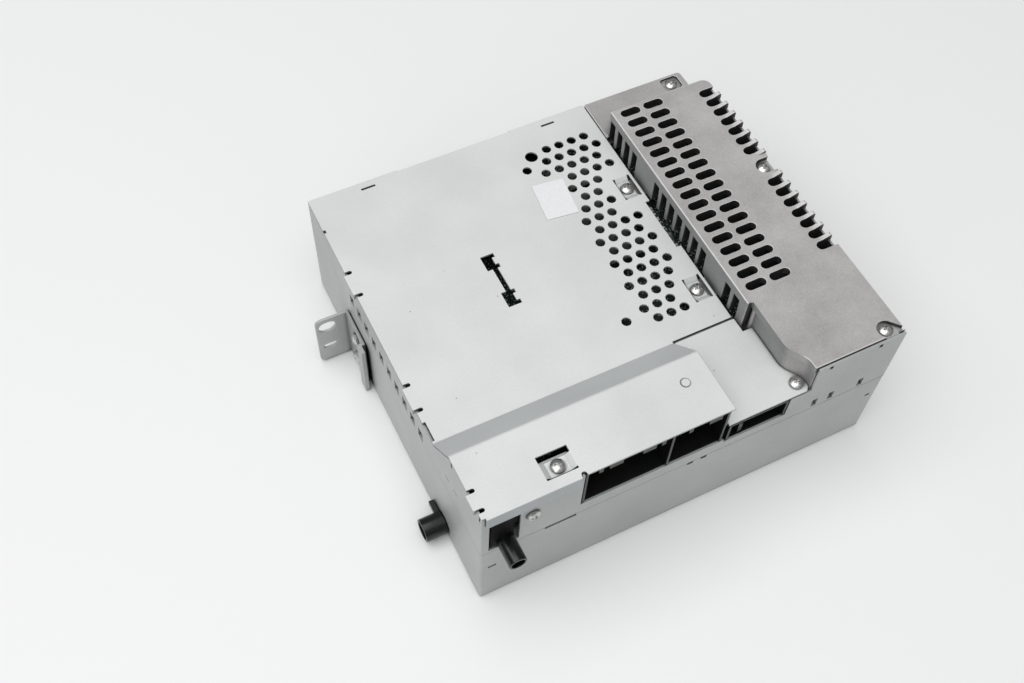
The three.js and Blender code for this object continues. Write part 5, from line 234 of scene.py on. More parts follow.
soft_panel("ceiling_panel", PANEL_PLACE, PANEL_SIZE, PANEL_POWER)
soft_panel("window_fill", FILL_PLACE, FILL_SIZE, FILL_POWER)
print("lamps:", [light.name for light in bpy.data.lights])


# %% [markdown]
# ## The room
# The world lights the shadows and gives metal something to mirror. It is dim near the horizon and pale
# above, which keeps upright faces a good deal darker than level ones. It is also a little paler behind the
# unit. So the colour follows the height of each direction, with a small part of its reach to the rear
# added.

# %% Room
SKY_STOPS = [(0.0, "#8b8d8e"), (0.35, "#b9bbbc"), (0.8, "#fbfcfd")]
SKY_STRENGTH = 0.46
REAR_SHARE = 0.12

world = bpy.data.worlds.new("pale_room")
world.use_nodes = True
scene.world = world
sky_graph = world.node_tree
direction = add_node(sky_graph, "TexCoord").outputs["Generated"]
parts = add_node(sky_graph, "SeparateXYZ", Vector=direction).outputs
height = add_node(sky_graph, "Math", {"operation": "MULTIPLY_ADD"}, _0=parts["Y"], _1=-REAR_SHARE,
                  _2=parts["Z"]).outputs["Value"]
sky = add_node(sky_graph, "ValToRGB", stops=SKY_STOPS, Fac=height).outputs["Color"]
background = sky_graph.nodes["Background"]
sky_graph.links.new(sky, background.inputs["Color"])
background.inputs["Strength"].default_value = SKY_STRENGTH
print("room strength:", SKY_STRENGTH)


# %% [markdown]
# ## Zinc-plated sheet
# Most of the skin is steel sheet with a thin coat of zinc. Aged zinc is chalky: most of its light is
# scattered and only some of it mirrored, so a metallic share well under one looks right. Its colour has
# faint clouds a few centimetres wide and a fine grain. The clouds and the grain are two noise textures of
# very different scale, and roughness follows the clouds, so highlights break up a little. Real zinc grain
# is under a tenth of a millimetre. It is drawn coarser here, or it wouldn't show.
#
# Shade is painted into slots, along seams and under tabs. The Ambient Occlusion node measures how open a
# place is within a few millimetres, and closed places turn dark. The upright and leaning faces of the cover
# are painted a shade darker than its top, as less light falls on them. The upward part of the surface normal
# tells them apart. Last, a few specks of dirt lie about. They are the middles of Voronoi cells, kept in one
# cell of six.

# %% Zinc: the values
CLOUD_WIDTH = 35.7
CLOUD_DETAIL = 4.0
ZINC_GRAIN = 0.667
GRAIN_DETAIL = 2.0
ZINC_GRAIN_SHARE = 0.5
ZINC_TONE = (0.5, 1.0)
TILTED_BELOW = 0.55
LEVEL_ABOVE = 0.9
FLECK_SPACING = 6.67
FLECK_SHARE = 0.16
FLECK_SIZE = 0.055
FLECK_WEIGHT = 0.45
FLECK_COLOUR = "#6a6b69"
# The next four make the painted shade of closed places.
RECESS_SHADE_REACH = 3.0 * MM
RECESS_SHADE_COLOUR = "#1b1d1c"
RECESS_SHADE_OPEN = (0.35, 0.8)
RECESS_SHADE_SAMPLES = 8
SMOOTHER = 0.05
ROUGHER = 0.06
ZINC_BUMP = 0.15
ZINC_RISE = 0.06 * MM
# The darkening of closed places is painted shade.
print("dust darkens places closed within", RECESS_SHADE_REACH / MM, "mm")


# %% Zinc: the parts of its colour
def upward_part(graph):
    """How far the surface faces up or down, from 0 for a wall to 1 for a level face."""
    upward = add_node(graph, "SeparateXYZ", Vector=coordinates(graph)["Normal"]).outputs["Z"]
    return add_node(graph, "Math", {"operation": "ABSOLUTE"}, _0=upward).outputs["Value"]


def with_flecks(graph, colour):
    """A colour with specks: the middles of those Voronoi cells whose random red is low."""
    cells = add_node(graph, "TexVoronoi", Vector=coordinates(graph)["Object"], Scale=per_metre(FLECK_SPACING))
    chance = add_node(graph, "SeparateColor", Color=cells.outputs["Color"]).outputs["Red"]
    chosen = add_node(graph, "Math", {"operation": "LESS_THAN"}, _0=chance, _1=FLECK_SHARE)
    near = add_node(graph, "Math", {"operation": "LESS_THAN"}, _0=cells.outputs["Distance"], _1=FLECK_SIZE)
    fleck = add_node(graph, "Math", {"operation": "MULTIPLY"}, _0=chosen.outputs["Value"],
                     _1=near.outputs["Value"])
    faint = add_node(graph, "Math", {"operation": "MULTIPLY"}, _0=fleck.outputs["Value"],
                     _1=FLECK_WEIGHT).outputs["Value"]
    return add_node(graph, "Mix", BLEND, _0=faint, _6=colour, _7=linear(FLECK_COLOUR)).outputs[2]


def with_painted_recess_shade(graph, colour):
    """A colour that falls to a painted shade where the surroundings close in."""
    openness = add_node(graph, "AmbientOcclusion", {"samples": RECESS_SHADE_SAMPLES}, Distance=RECESS_SHADE_REACH)
    recess_unshaded = add_node(graph, "MapRange", Value=openness.outputs["AO"], From_Min=RECESS_SHADE_OPEN[0],
                     From_Max=RECESS_SHADE_OPEN[1]).outputs["Result"]
    return add_node(graph, "Mix", BLEND, _0=recess_unshaded, _6=linear(RECESS_SHADE_COLOUR), _7=colour).outputs[2]


# %% Zinc: the sheet
def zinc_sheet(name, dark, pale, roughness, metallic, upright_shade="#ffffff"):
    """Clouds and grain between two greys, times a painted shade for upright faces, with specks and painted
    shade in closed places.

    The grain also goes into a faint bump, and the roughness follows the clouds."""
    material, graph, shader, place = empty_material(name)
    clouds = add_node(graph, "TexNoise", Vector=place["Object"], Scale=per_metre(CLOUD_WIDTH),
                      Detail=CLOUD_DETAIL).outputs["Fac"]
    grain = add_node(graph, "TexNoise", Vector=place["Object"], Scale=per_metre(ZINC_GRAIN),
                     Detail=GRAIN_DETAIL).outputs["Fac"]
    mixed = add_node(graph, "Math", {"operation": "MULTIPLY_ADD"}, _0=grain, _1=ZINC_GRAIN_SHARE, _2=clouds)
    tone = add_node(graph, "MapRange", Value=mixed.outputs["Value"], From_Min=ZINC_TONE[0],
                    From_Max=ZINC_TONE[1]).outputs["Result"]
    sheet = add_node(graph, "ValToRGB", stops=[(0.0, dark), (1.0, pale)], Fac=tone).outputs["Color"]
    # Upright and leaning faces are painted a shade darker.
    tint = add_node(graph, "ValToRGB", stops=[(TILTED_BELOW, upright_shade), (LEVEL_ABOVE, "#ffffff")],
                    Fac=upward_part(graph)).outputs["Color"]
    shaded_sheet = add_node(graph, "Mix", TINT, _0=1.0, _6=sheet, _7=tint).outputs[2]
    join_surface(graph, shader, with_painted_recess_shade(graph, with_flecks(graph, shaded_sheet)),
                 gloss=(clouds, roughness - SMOOTHER, roughness + ROUGHER), bump=(grain, ZINC_BUMP, ZINC_RISE))
    shader.inputs["Metallic"].default_value = metallic
    return material


# The cover's upright faces take a painted shade, #d0d4d7.
cover_zinc = zinc_sheet("zinc_sheet_cover", "#d2d4d3", "#e0e2e0", roughness=0.52, metallic=0.2,
                        upright_shade="#d0d4d7")
# The chassis sheet is painted darker than the cover's, a painted shade for its upright walls.
chassis_zinc = zinc_sheet("zinc_sheet_chassis", "#a7abaa", "#b9bcba", roughness=0.46, metallic=0.35)
inner_zinc = zinc_sheet("zinc_sheet_inner", "#8f9292", "#a9acac", roughness=0.45, metallic=0.5)
tin_plate = zinc_sheet("tin_plated_sheet", "#4d4f4b", "#6c6e69", roughness=0.4, metallic=0.9)
print("sheets:", cover_zinc.name, chassis_zinc.name, inner_zinc.name, tin_plate.name)


# %% [markdown]
# ## The press mark
# The raised part of the cover has one round mark where a blunt punch pressed the sheet. It is too shallow
# to be worth a mesh. The distance from its middle gives a height, and a second Bump node turns that into
# shading.

# %% Press mark
COVER_LOW, COVER_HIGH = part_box("top_cover")
MARK_FROM_RIGHT = 37.9 * MM
MARK_FROM_REAR = 18.0 * MM
MARK_PLACE = (COVER_HIGH[0] - MARK_FROM_RIGHT, COVER_LOW[1] + MARK_FROM_REAR, COVER_HIGH[2])
MARK_RADIUS = 2.2 * MM
MARK_SLOPE = 0.7 * MM
MARK_DEPTH = 1.2 * MM


def press_mark(material):
    """Adds a round dip to a sheet material, its height rising from 0 to 1 across the slope at its edge."""
    graph = material.node_tree
    normal = graph.nodes["Principled BSDF"].inputs["Normal"]
    fine = normal.links[0].from_socket
    away = add_node(graph, "VectorMath", {"operation": "DISTANCE"}, _0=coordinates(graph)["Object"],
                    _1=MARK_PLACE).outputs["Value"]
    rise = add_node(graph, "MapRange", {"interpolation_type": "SMOOTHSTEP"}, Value=away,
                    From_Min=MARK_RADIUS - MARK_SLOPE, From_Max=MARK_RADIUS).outputs["Result"]
    dip = add_node(graph, "Bump", Strength=1.0, Distance=MARK_DEPTH, Height=rise, Normal=fine)
    graph.links.new(dip.outputs["Normal"], normal)


press_mark(cover_zinc)
print("press mark:", MARK_RADIUS / MM, "mm in radius")


# %% [markdown]
# ## Screw, motor and contact metal
# Screws and motor cans are plated steel, and contacts are plated brass. All were turned or drawn, which
# leaves fine lines, and their plating is clean, so they are fully metallic with a clear shine. The lines
# are drawn at about a millimetre, coarser than real tool marks, so that they show at all.

# %% Turned metal
TOOL_MARKS = 1.11
MARKS_DETAIL = 2.0
MARKS_TONE = (0.3, 0.7)
MARKS_ROUGHER = 0.08


def turned_metal(name, dark, pale, roughness):
    """Bright plated metal: one fine noise runs through colour and roughness."""
    material, graph, shader, place = empty_material(name)
    lines = add_node(graph, "TexNoise", Vector=place["Object"], Scale=per_metre(TOOL_MARKS),
                     Detail=MARKS_DETAIL).outputs["Fac"]
    colour = add_node(graph, "ValToRGB", stops=list(zip(MARKS_TONE, (dark, pale))), Fac=lines)
    join_surface(graph, shader, colour.outputs["Color"],
                 gloss=(lines, roughness - SMOOTHER, roughness + MARKS_ROUGHER))
    shader.inputs["Metallic"].default_value = 1.0
    return material


plated_steel = turned_metal("plated_screw_steel", "#b4b5b4", "#dddcd9", roughness=0.3)
motor_steel = turned_metal("drawn_motor_steel", "#9fa1a1", "#c9caca", roughness=0.3)
contact_brass = turned_metal("plated_contact_brass", "#9a8346", "#c8aa5c", roughness=0.25)
print("turned metals:", plated_steel.name, motor_steel.name, contact_brass.name)


# %% [markdown]
# ## Die-cast aluminium
# The heat sink is cast, not bent. A casting is greyer than sheet, speckled at half a millimetre and
# slightly rough. Deep places between the fins get a painted shade. The Ambient Occlusion node measures how
# open a place is to its own casting, and that blends in a darker grey.
#
# Two more things follow from how a face lies. Upright walls get a painted shade, darker where less light
# falls on them. That painted shade is darkest on the walls across the unit, which face each other between
# the fins. Rounded edges get a painted highlight, pale lines. The surface normal tells all three: a wall has
# a level part close to 1, and an edge leans, so its upward part lies between 0 and 1.

# %% Casting: the values
STAIN_WIDTH = 22.2
STAIN_DETAIL = 5.0
STAIN_ROUGHNESS = 0.6
CAST_GRAIN = 0.5
CAST_GRAIN_DETAIL = 3.0
CAST_GRAIN_SHARE = 0.7
CAST_TONE = (0.55, 1.15)
SIDE_WALL_SHADE = "#d6d8da"
FIN_WALL_SHADE = "#8c8e90"
WALL_SHADE_FROM = (0.9, 0.99)
# The pale grey and its span make the painted highlight of leaning edges.
EDGE_HIGHLIGHT = "#dad9d8"
EDGE_HIGHLIGHT_SPAN = [(0.0, "#000000"), (0.35, "#000000"), (0.6, "#ffffff"), (0.93, "#ffffff"), (0.995, "#000000")]
DEEP_SHADE_REACH = 12.0 * MM
DEEP_SHADE_OPEN = (0.42, 0.92)
DEEP_SHADE_SAMPLES = 12
CAST_GLOSS = (0.48, 0.66)
CAST_METALLIC = 0.3
CAST_BUMP = 0.3
CAST_RISE = 0.12 * MM
# The reach is that of the painted shade between the fins.
print("blasting reaches", DEEP_SHADE_REACH / MM, "mm between the fins")


# %% Casting: painted shade on walls and in deep places, painted highlight on edges
def with_painted_wall_shade(graph, colour, axis, skin):
    """A colour multiplied by a painted shade's colour where the normal lies along one axis."""
    part = add_node(graph, "SeparateXYZ", Vector=coordinates(graph)["Normal"]).outputs[axis]
    along = add_node(graph, "Math", {"operation": "ABSOLUTE"}, _0=part).outputs["Value"]
    share = add_node(graph, "MapRange", Value=along, From_Min=WALL_SHADE_FROM[0],
                     From_Max=WALL_SHADE_FROM[1]).outputs["Result"]
    return add_node(graph, "Mix", TINT, _0=share, _6=colour, _7=linear(skin)).outputs[2]


def with_painted_edge_highlight(graph, colour):
    """A colour that turns pale where the surface leans: a painted highlight on rounded edges."""
    leaning = add_node(graph, "ValToRGB", stops=EDGE_HIGHLIGHT_SPAN, Fac=upward_part(graph)).outputs["Color"]
    return add_node(graph, "Mix", BLEND, _0=leaning, _6=colour, _7=linear(EDGE_HIGHLIGHT)).outputs[2]


def with_painted_deep_shade(graph, colour, deep_shade):
    """A colour that falls to a deep grey where the casting closes in on itself: painted shade."""
    openness = add_node(graph, "AmbientOcclusion", {"only_local": True, "samples": DEEP_SHADE_SAMPLES},
                        Distance=DEEP_SHADE_REACH)
    deep_unshaded = add_node(graph, "MapRange", {"interpolation_type": "SMOOTHSTEP"},
                       Value=openness.outputs["AO"], From_Min=DEEP_SHADE_OPEN[0],
                       From_Max=DEEP_SHADE_OPEN[1]).outputs["Result"]
    return add_node(graph, "Mix", BLEND, _0=deep_unshaded, _6=linear(deep_shade), _7=colour).outputs[2]


# %% Casting: the metal
def cast_metal(name, dark, pale, deep_shade):
    """Speckles and wide stains between two greys, then painted shade on walls, painted highlights on edges and
    painted shade in deep places.
    """
    material, graph, shader, place = empty_material(name)
    stains = add_node(graph, "TexNoise", Vector=place["Object"], Scale=per_metre(STAIN_WIDTH),
                      Detail=STAIN_DETAIL, Roughness=STAIN_ROUGHNESS).outputs["Fac"]
    grain = add_node(graph, "TexNoise", Vector=place["Object"], Scale=per_metre(CAST_GRAIN),
                     Detail=CAST_GRAIN_DETAIL).outputs["Fac"]
    mixed = add_node(graph, "Math", {"operation": "MULTIPLY_ADD"}, _0=grain, _1=CAST_GRAIN_SHARE, _2=stains)
    tone = add_node(graph, "MapRange", Value=mixed.outputs["Value"], From_Min=CAST_TONE[0],
                    From_Max=CAST_TONE[1]).outputs["Result"]
    bare = add_node(graph, "ValToRGB", stops=[(0.0, dark), (1.0, pale)], Fac=tone).outputs["Color"]
    # Painted shade on the upright walls, then a painted highlight on leaning edges and painted shade in deep
    # places.
    walls = with_painted_wall_shade(graph, with_painted_wall_shade(graph, bare, "X", SIDE_WALL_SHADE), "Y", FIN_WALL_SHADE)
    join_surface(graph, shader, with_painted_deep_shade(graph, with_painted_edge_highlight(graph, walls), deep_shade),
                 gloss=(grain, *CAST_GLOSS), bump=(grain, CAST_BUMP, CAST_RISE))
    shader.inputs["Metallic"].default_value = CAST_METALLIC
    return material


# The last grey is the painted shade of deep places.
sink_alloy = cast_metal("die_cast_alloy", "#9f9d9c", "#c3c1c0", "#303031")
print("casting:", sink_alloy.name)


# %% [markdown]
# ## Plastics, rubber and paper
# Socket housings are black moulded nylon, which is dark with a broad soft shine. Rubber is duller, and so
# is label paper. All of them get a fine mottle in colour, roughness and bump, like the skin that a
# spark-eroded mould leaves. Such a skin is finer than a tenth of a millimetre. It is drawn at about one, so
# that it shows. The default index of refraction, 1.5, is close to that of nylon, acetal and resin, so it
# stays.

# %% Plastics
MOTTLE = 0.909
RUBBER_MOTTLE = 1.43
PAPER_FIBRE = 1.11
MOTTLE_DETAIL = 2.0
MOTTLE_TONE = (0.3, 0.7)
MOTTLE_ROUGHER = 0.07
MOTTLE_BUMP = 0.15
MOTTLE_RISE = 0.05 * MM
BLOCK_SHADE_SHINE = 0.15


def moulded_plastic(name, dark, pale, roughness, mottle=MOTTLE):
    """Two close colours in a fine mottle, which also varies the roughness and a faint bump."""
    material, graph, shader, place = empty_material(name)
    skin = add_node(graph, "TexNoise", Vector=place["Object"], Scale=per_metre(mottle),
                    Detail=MOTTLE_DETAIL).outputs["Fac"]
    colour = add_node(graph, "ValToRGB", stops=list(zip(MOTTLE_TONE, (dark, pale))), Fac=skin)
    join_surface(graph, shader, colour.outputs["Color"],
                 gloss=(skin, roughness - SMOOTHER, roughness + MOTTLE_ROUGHER),
                 bump=(skin, MOTTLE_BUMP, MOTTLE_RISE))
    return material


black_nylon = moulded_plastic("black_moulded_nylon", "#08090a", "#101112", roughness=0.34)
glossy_nylon = moulded_plastic("glossy_black_nylon", "#060708", "#0c0d0e", roughness=0.2)
# The rear jack's block: darker and with a weak shine, as painted shade.
painted_shade_nylon = moulded_plastic("painted_shade_black_nylon", "#040405", "#09090a", roughness=0.7)
painted_shade_nylon.node_tree.nodes["Principled BSDF"].inputs["Specular IOR Level"].default_value = BLOCK_SHADE_SHINE
grey_plastic = moulded_plastic("dark_grey_moulding", "#3d4042", "#4c5052", roughness=0.45)
white_acetal = moulded_plastic("white_acetal", "#cfcdc5", "#dedcd5", roughness=0.4)
black_rubber = moulded_plastic("black_rubber", "#161617", "#222223", roughness=0.7, mottle=RUBBER_MOTTLE)
chip_resin = moulded_plastic("black_chip_resin", "#17181a", "#222326", roughness=0.55)
label_paper = moulded_plastic("white_label_paper", "#e3e3e5", "#eaeaeb", roughness=0.65, mottle=PAPER_FIBRE)
print("materials so far:", len(bpy.data.materials))


# %% [markdown]
# ## The circuit board
# The board is glass cloth under green lacquer. Copper lanes show through it as paler lines, which the
# mortar of a brick pattern of long cells draws. Small solder points lie all over it. A Voronoi texture
# gives the points: the distance from each cell's middle, cut off early.

# %% Circuit board
LANE_SPACING = 6.25
LANE_SHARE = 0.035
LANE_SHIFT = 0.37
LACQUER = ("#1b2521", "#202b26")
COPPER_LANE = "#2e4138"
SOLDER_SPACING = 1.11
SOLDER_SPOT = [(0.0, "#ffffff"), (0.26, "#ffffff"), (0.34, "#000000")]
SOLDER_COLOUR = "#a3aca6"
LACQUER_ROUGHNESS = 0.35
LANE_BUMP = 0.3
LANE_RISE = 0.04 * MM


def circuit_board(name):
    """Green lacquer, paler copper lanes and round solder points."""
    material, graph, shader, place = empty_material(name)
    lanes = add_node(graph, "TexBrick", {"offset": LANE_SHIFT}, Vector=place["Object"],
                     Color1=linear(LACQUER[0]), Color2=linear(LACQUER[1]), Mortar=linear(COPPER_LANE),
                     Scale=per_metre(LANE_SPACING), Mortar_Size=LANE_SHARE)
    cells = add_node(graph, "TexVoronoi", Vector=place["Object"], Scale=per_metre(SOLDER_SPACING))
    points = add_node(graph, "ValToRGB", stops=SOLDER_SPOT, Fac=cells.outputs["Distance"])
    dotted = add_node(graph, "Mix", BLEND, _0=points.outputs["Color"],
                      _6=lanes.outputs["Color"], _7=linear(SOLDER_COLOUR))
    graph.links.new(dotted.outputs[2], shader.inputs["Base Color"])
    shader.inputs["Roughness"].default_value = LACQUER_ROUGHNESS
    bump = add_node(graph, "Bump", Strength=LANE_BUMP, Distance=LANE_RISE, Height=lanes.outputs["Fac"])
    graph.links.new(bump.outputs["Normal"], shader.inputs["Normal"])
    return material


green_board = circuit_board("green_circuit_board")
print("board lanes every", LANE_SPACING, "mm, solder points every", SOLDER_SPACING, "mm")


# %% [markdown]
# ## The pin strip and the lens
# Through the holes of the cover one sees a strip crowded with tinned pin ends. They are far too many and
# too small to be worth solids, so round points from a Voronoi texture draw them on the strip. The pickup's
# lens is clear plastic with a faint blue coating, deep inside the unit.

# %% Pin strip and lens
PIN_SPACING = 1.25
PIN_SPOT = [(0.0, "#e6eae4"), (0.34, "#a9b0a9"), (0.5, "#353d38")]
PIN_GLOSS = (0.3, 0.6)
COATING_WIDTH = 3.33
COATING = [(0.2, "#6f86b4"), (0.8, "#8da2cc")]
LENS_ROUGHNESS = 0.05
LENS_CLEARNESS = 0.6


def pin_field(name):
    """A dark strip crowded with pale pin ends."""
    material, graph, shader, place = empty_material(name)
    cells = add_node(graph, "TexVoronoi", Vector=place["Object"],
                     Scale=per_metre(PIN_SPACING)).outputs["Distance"]
    pins = add_node(graph, "ValToRGB", stops=PIN_SPOT, Fac=cells)
    join_surface(graph, shader, pins.outputs["Color"], gloss=(cells, *PIN_GLOSS))
    return material


def coated_lens(name):
    """Clear plastic whose tint wanders between two blues."""
    material, graph, shader, place = empty_material(name)
    tint = add_node(graph, "TexNoise", Vector=place["Object"], Scale=per_metre(COATING_WIDTH))
    colour = add_node(graph, "ValToRGB", stops=COATING, Fac=tint.outputs["Fac"])
    graph.links.new(colour.outputs["Color"], shader.inputs["Base Color"])
    shader.inputs["Roughness"].default_value = LENS_ROUGHNESS
    shader.inputs["Transmission Weight"].default_value = LENS_CLEARNESS
    return material


tinned_pins = pin_field("tinned_pin_ends")
lens_plastic = coated_lens("clear_lens_plastic")
print("materials:", len(bpy.data.materials))


# %% [markdown]
# ## Rounded edges
# No real edge is perfectly sharp. Sheet metal turns over in a radius of about its own thickness, a sheared
# edge has only a slight burr, and a casting is softer still. These edges catch thin bright lines, which
# tell the eye that the thing is metal. So each visible solid is copied, and the copy takes its place.
#
# The record says which body carries a node and which slot its material has. A copy goes onto the node's body.

# %% Standing in for a node
def body_holding(node):
    """The name of the body that a node belongs to."""
    bodies = frame["record"]["behaviour"]["bodies"]
    return next(name for name, members in bodies.items() if node in members)


def slot_of(node):
    """The record's material slot of a node."""
    return next(row["material_slot"] for row in frame["record"]["subparts"] if row["node"] == node)


def stand_in_for(piece, node):
    """Lets a piece take the place of a node, on the same body."""
    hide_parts(node)
    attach(piece, body_holding(node))


# %% [markdown]
# ## Flat regions
# A copy starts as loose triangles. They are joined at their corners and gathered into flat regions: faces
# that lie in one plane and hang together. A simple region becomes a single face. A region with holes can't,
# so it keeps its triangles and gets a number, under which it is found again after the bevel.

# %% Find the flat regions
FLAT_LIMIT = math.radians(0.6)


def is_flat(edge):
    """True where an edge only divides one flat surface."""
    return len(edge.link_faces) == 2 and edge.calc_face_angle() < FLAT_LIMIT


def flat_regions(shape):
    """The faces in groups that each lie in one plane and hang together."""
    shape.faces.index_update()
    seen, regions = set(), []
    for seed in shape.faces:
        if seed.index in seen:
            continue
        seen.add(seed.index)
        region = [seed]
        for face in region:
            others = [other for edge in face.edges if is_flat(edge) for other in edge.link_faces]
            for other in others:
                if other.index not in seen:
                    seen.add(other.index)
                    region.append(other)
        regions.append(region)
    return regions


# %% Weld a solid and number its flat regions
WELD_DISTANCE = 0.004 * MM
MOST_CORNERS = 24
REGION_LAYER = "flat_region"


def once(things):
    """Each thing once, in the order in which it first comes."""
    return list(dict.fromkeys(things))


def welded(node):
    """The node's triangles, joined. A simple flat region becomes one face, and any other gets a number."""
    shape = bmesh.new()
    shape.from_mesh(frame["nodes"][node].data)
    bmesh.ops.remove_doubles(shape, verts=shape.verts, dist=WELD_DISTANCE)
    bmesh.ops.recalc_face_normals(shape, faces=shape.faces)
    numbers = shape.faces.layers.int.new(REGION_LAYER)
    planes = []
    for region in flat_regions(shape):
        edges = once(edge for face in region for edge in face.edges)
        corners = once(corner for face in region for corner in face.verts)
        in_one_ring = len(corners) - len(edges) + len(region) == 1
        if in_one_ring and len(corners) <= MOST_CORNERS:
            continue
        largest = max(region, key=lambda face: face.calc_area())
        planes.append((largest.normal.copy(), largest.verts[0].co.copy()))
        for face in region:
            face[numbers] = len(planes)
    bmesh.ops.dissolve_limit(shape, angle_limit=FLAT_LIMIT, verts=shape.verts, edges=shape.edges)
    return shape, planes


# %% [markdown]
# ## How wide each edge turns
# Where two broad regions meet in a long outward edge, the sheet was bent, and the edge takes the wide
# radius. All other corner edges take the narrow one, and cramped edges less. The Bevel modifier has one
# width for a mesh, but each edge can carry a weight, which is its share of that width.

# %% Tell bends and hidden edges
BEND_LENGTH = 9.0 * MM
BROAD = 2.2 * MM
BROADER = 4.0 * MM
LOOKS_DOWN = -0.9
FOOT_HEIGHT = 2.0 * MM


def region_widths(shape):
    """For each face, the mean width of the flat region around it: twice its area over its border's length."""
    widths = {}
    for region in flat_regions(shape):
        area = sum(face.calc_area() for face in region)
        border = sum(edge.calc_length() for face in region for edge in face.edges if not is_flat(edge))
        width = 2.0 * area / max(border, WELD_DISTANCE)
        widths.update((face, width) for face in region)
    return widths


def is_fold(edge, widths, shallow):
    """True for a long edge between two broad flat regions. The facets of a curved wall are not broad enough."""
    least = BROADER if shallow else BROAD
    return min(widths[face] for face in edge.link_faces) > least and edge.calc_length() > BEND_LENGTH


def is_hidden(edge, lowest):
    """True at the border of a level underside that lies above the solid's foot, where nobody looks."""
    under = [face for face in edge.link_faces if face.normal.z < LOOKS_DOWN]
    return any(face.calc_center_median().z > lowest + FOOT_HEIGHT for face in under)


# %% Give each edge its weight
CRAMPED_SHARE = 0.5
LEAST_WEIGHT = 0.05
ROOM_SHARE = 0.42
WEIGHT_LAYER = "bevel_weight_edge"


def weigh_edges(shape, width, bend, limit, crossings):
    """Gives each corner edge the share of the widest radius that it can take, and marks the rest as creases."""
    lowest = min(corner.co.z for corner in shape.verts)
    weights = shape.edges.layers.float.new(WEIGHT_LAYER)
    widths = region_widths(shape)
    room = {corner: min(edge.calc_length() for edge in corner.link_edges) for corner in shape.verts}
    for edge in shape.edges:
        if len(edge.link_faces) != 2 or is_flat(edge):
            continue
        shallow = edge.calc_face_angle() < limit
        fold = is_fold(edge, widths, shallow)
        if shallow and not fold:
            continue
        if is_hidden(edge, lowest):
            edge.smooth = False
            continue
        middle = (edge.verts[0].co + edge.verts[1].co) / 2
        half = edge.calc_length() / 2
        cramped = sum((spot - middle).length < half + reach for spot, reach in crossings)
        wanted = bend if fold and (shallow or edge.is_convex) else width
        possible = ROOM_SHARE * min(room[corner] for corner in edge.verts)
        weight = min(wanted, possible) / bend * CRAMPED_SHARE ** cramped
        edge[weights] = weight if weight > LEAST_WEIGHT else 0.0
        edge.smooth = weight > LEAST_WEIGHT


# %% The bevel
STRENGTH_LAYER = "__mod_weightednormals_faceweight"
STRONG = 16384


def bevelled(mesh, width, segments):
    """The mesh as a Bevel modifier leaves it, with the weights of its edges, in a new bmesh.

    The modifier also writes a strength on every face, and the faces that it didn't make are the strong ones."""
    carrier = bpy.data.objects.new("bevel_carrier", mesh)
    scene.collection.objects.link(carrier)
    rounding = carrier.modifiers.new("edge_radius", "BEVEL")
    rounding.width = width
    rounding.segments = segments
    rounding.limit_method = "WEIGHT"
    rounding.use_clamp_overlap = False
    rounding.loop_slide = False
    rounding.face_strength_mode = "FSTR_ALL"
    evaluated = carrier.evaluated_get(bpy.context.evaluated_depsgraph_get())
    shape = bmesh.new()
    shape.from_mesh(evaluated.to_mesh())
    evaluated.to_mesh_clear()
    bpy.data.objects.remove(carrier)
    return shape


# %% [markdown]
# ## Filling the regions again
# A bevel moves the border of a flat region inwards. Slender triangles between two rows of holes would turn
# over when both their ends move. So the inside of every region with holes is thrown away after the bevel
# and filled again from its border, by a Delaunay triangulation that keeps all border edges. Where a border
# came to cross itself, the edges nearby are too wide, and the next attempt halves them.

# %% Fill a region from its border
PLANE_ROOM = 0.002 * MM
CDT_ROOM = 0.00001


def is_inside(points, starts, ends):
    """For each point of a plane, whether a ray to its right crosses the border an odd number of times."""
    x, y = points[:, :1], points[:, 1:]
    spans = (starts[:, 1] > y) != (ends[:, 1] > y)
    rise = ends[:, 1] - starts[:, 1]
    safe_rise = np.where(rise == 0.0, 1.0, rise)
    crossing = starts[:, 0] + (y - starts[:, 1]) * (ends[:, 0] - starts[:, 0]) / safe_rise
    return (spans & (crossing > x)).sum(axis=1) % 2 == 1


def refill(shape, faces, normal, corner):
    """Replaces the faces of one flat region with a Delaunay triangulation of the region inside its border.

    Where the bevel made the border cross itself, nothing is replaced and the crossings are returned."""
    members = set(faces)
    edges = once(edge for face in faces for edge in face.edges)
    border = [edge for edge in edges if sum(face in members for face in edge.link_faces) == 1]
    corners = once(end for edge in border for end in edge.verts)
    numbers = {end: place for place, end in enumerate(corners)}
    across = normal.orthogonal().normalized()
    along = normal.cross(across)
    flat = [Vector(((end.co - corner).dot(across), (end.co - corner).dot(along))) / MM for end in corners]
    pairs = [tuple(numbers[end] for end in edge.verts) for edge in border]
    spots, _, triangles, sources, _, _ = delaunay_2d_cdt(flat, pairs, [], 0, CDT_ROOM)
    crossings = [spot for spot, source in zip(spots, sources) if len(source) != 1]
    if crossings or len(sources) != len(corners):
        return [corner + (across * spot[0] + along * spot[1]) * MM for spot in crossings]
    places = np.array([flat[source[0]][:] for source in sources])
    border_lines = np.array([flat[end][:] for pair in pairs for end in pair]).reshape(-1, 2, 2)
    middles = places[np.array(triangles)].mean(axis=1)
    kept = is_inside(middles, border_lines[:, 0], border_lines[:, 1])
    bmesh.ops.delete(shape, geom=faces, context="FACES")
    strengths = shape.faces.layers.int.get(STRENGTH_LAYER)
    for triangle, keep in zip(triangles, kept):
        if keep:
            face = shape.faces.new([corners[sources[place][0]] for place in triangle])
            face.smooth = True
            face[strengths] = STRONG
    return []


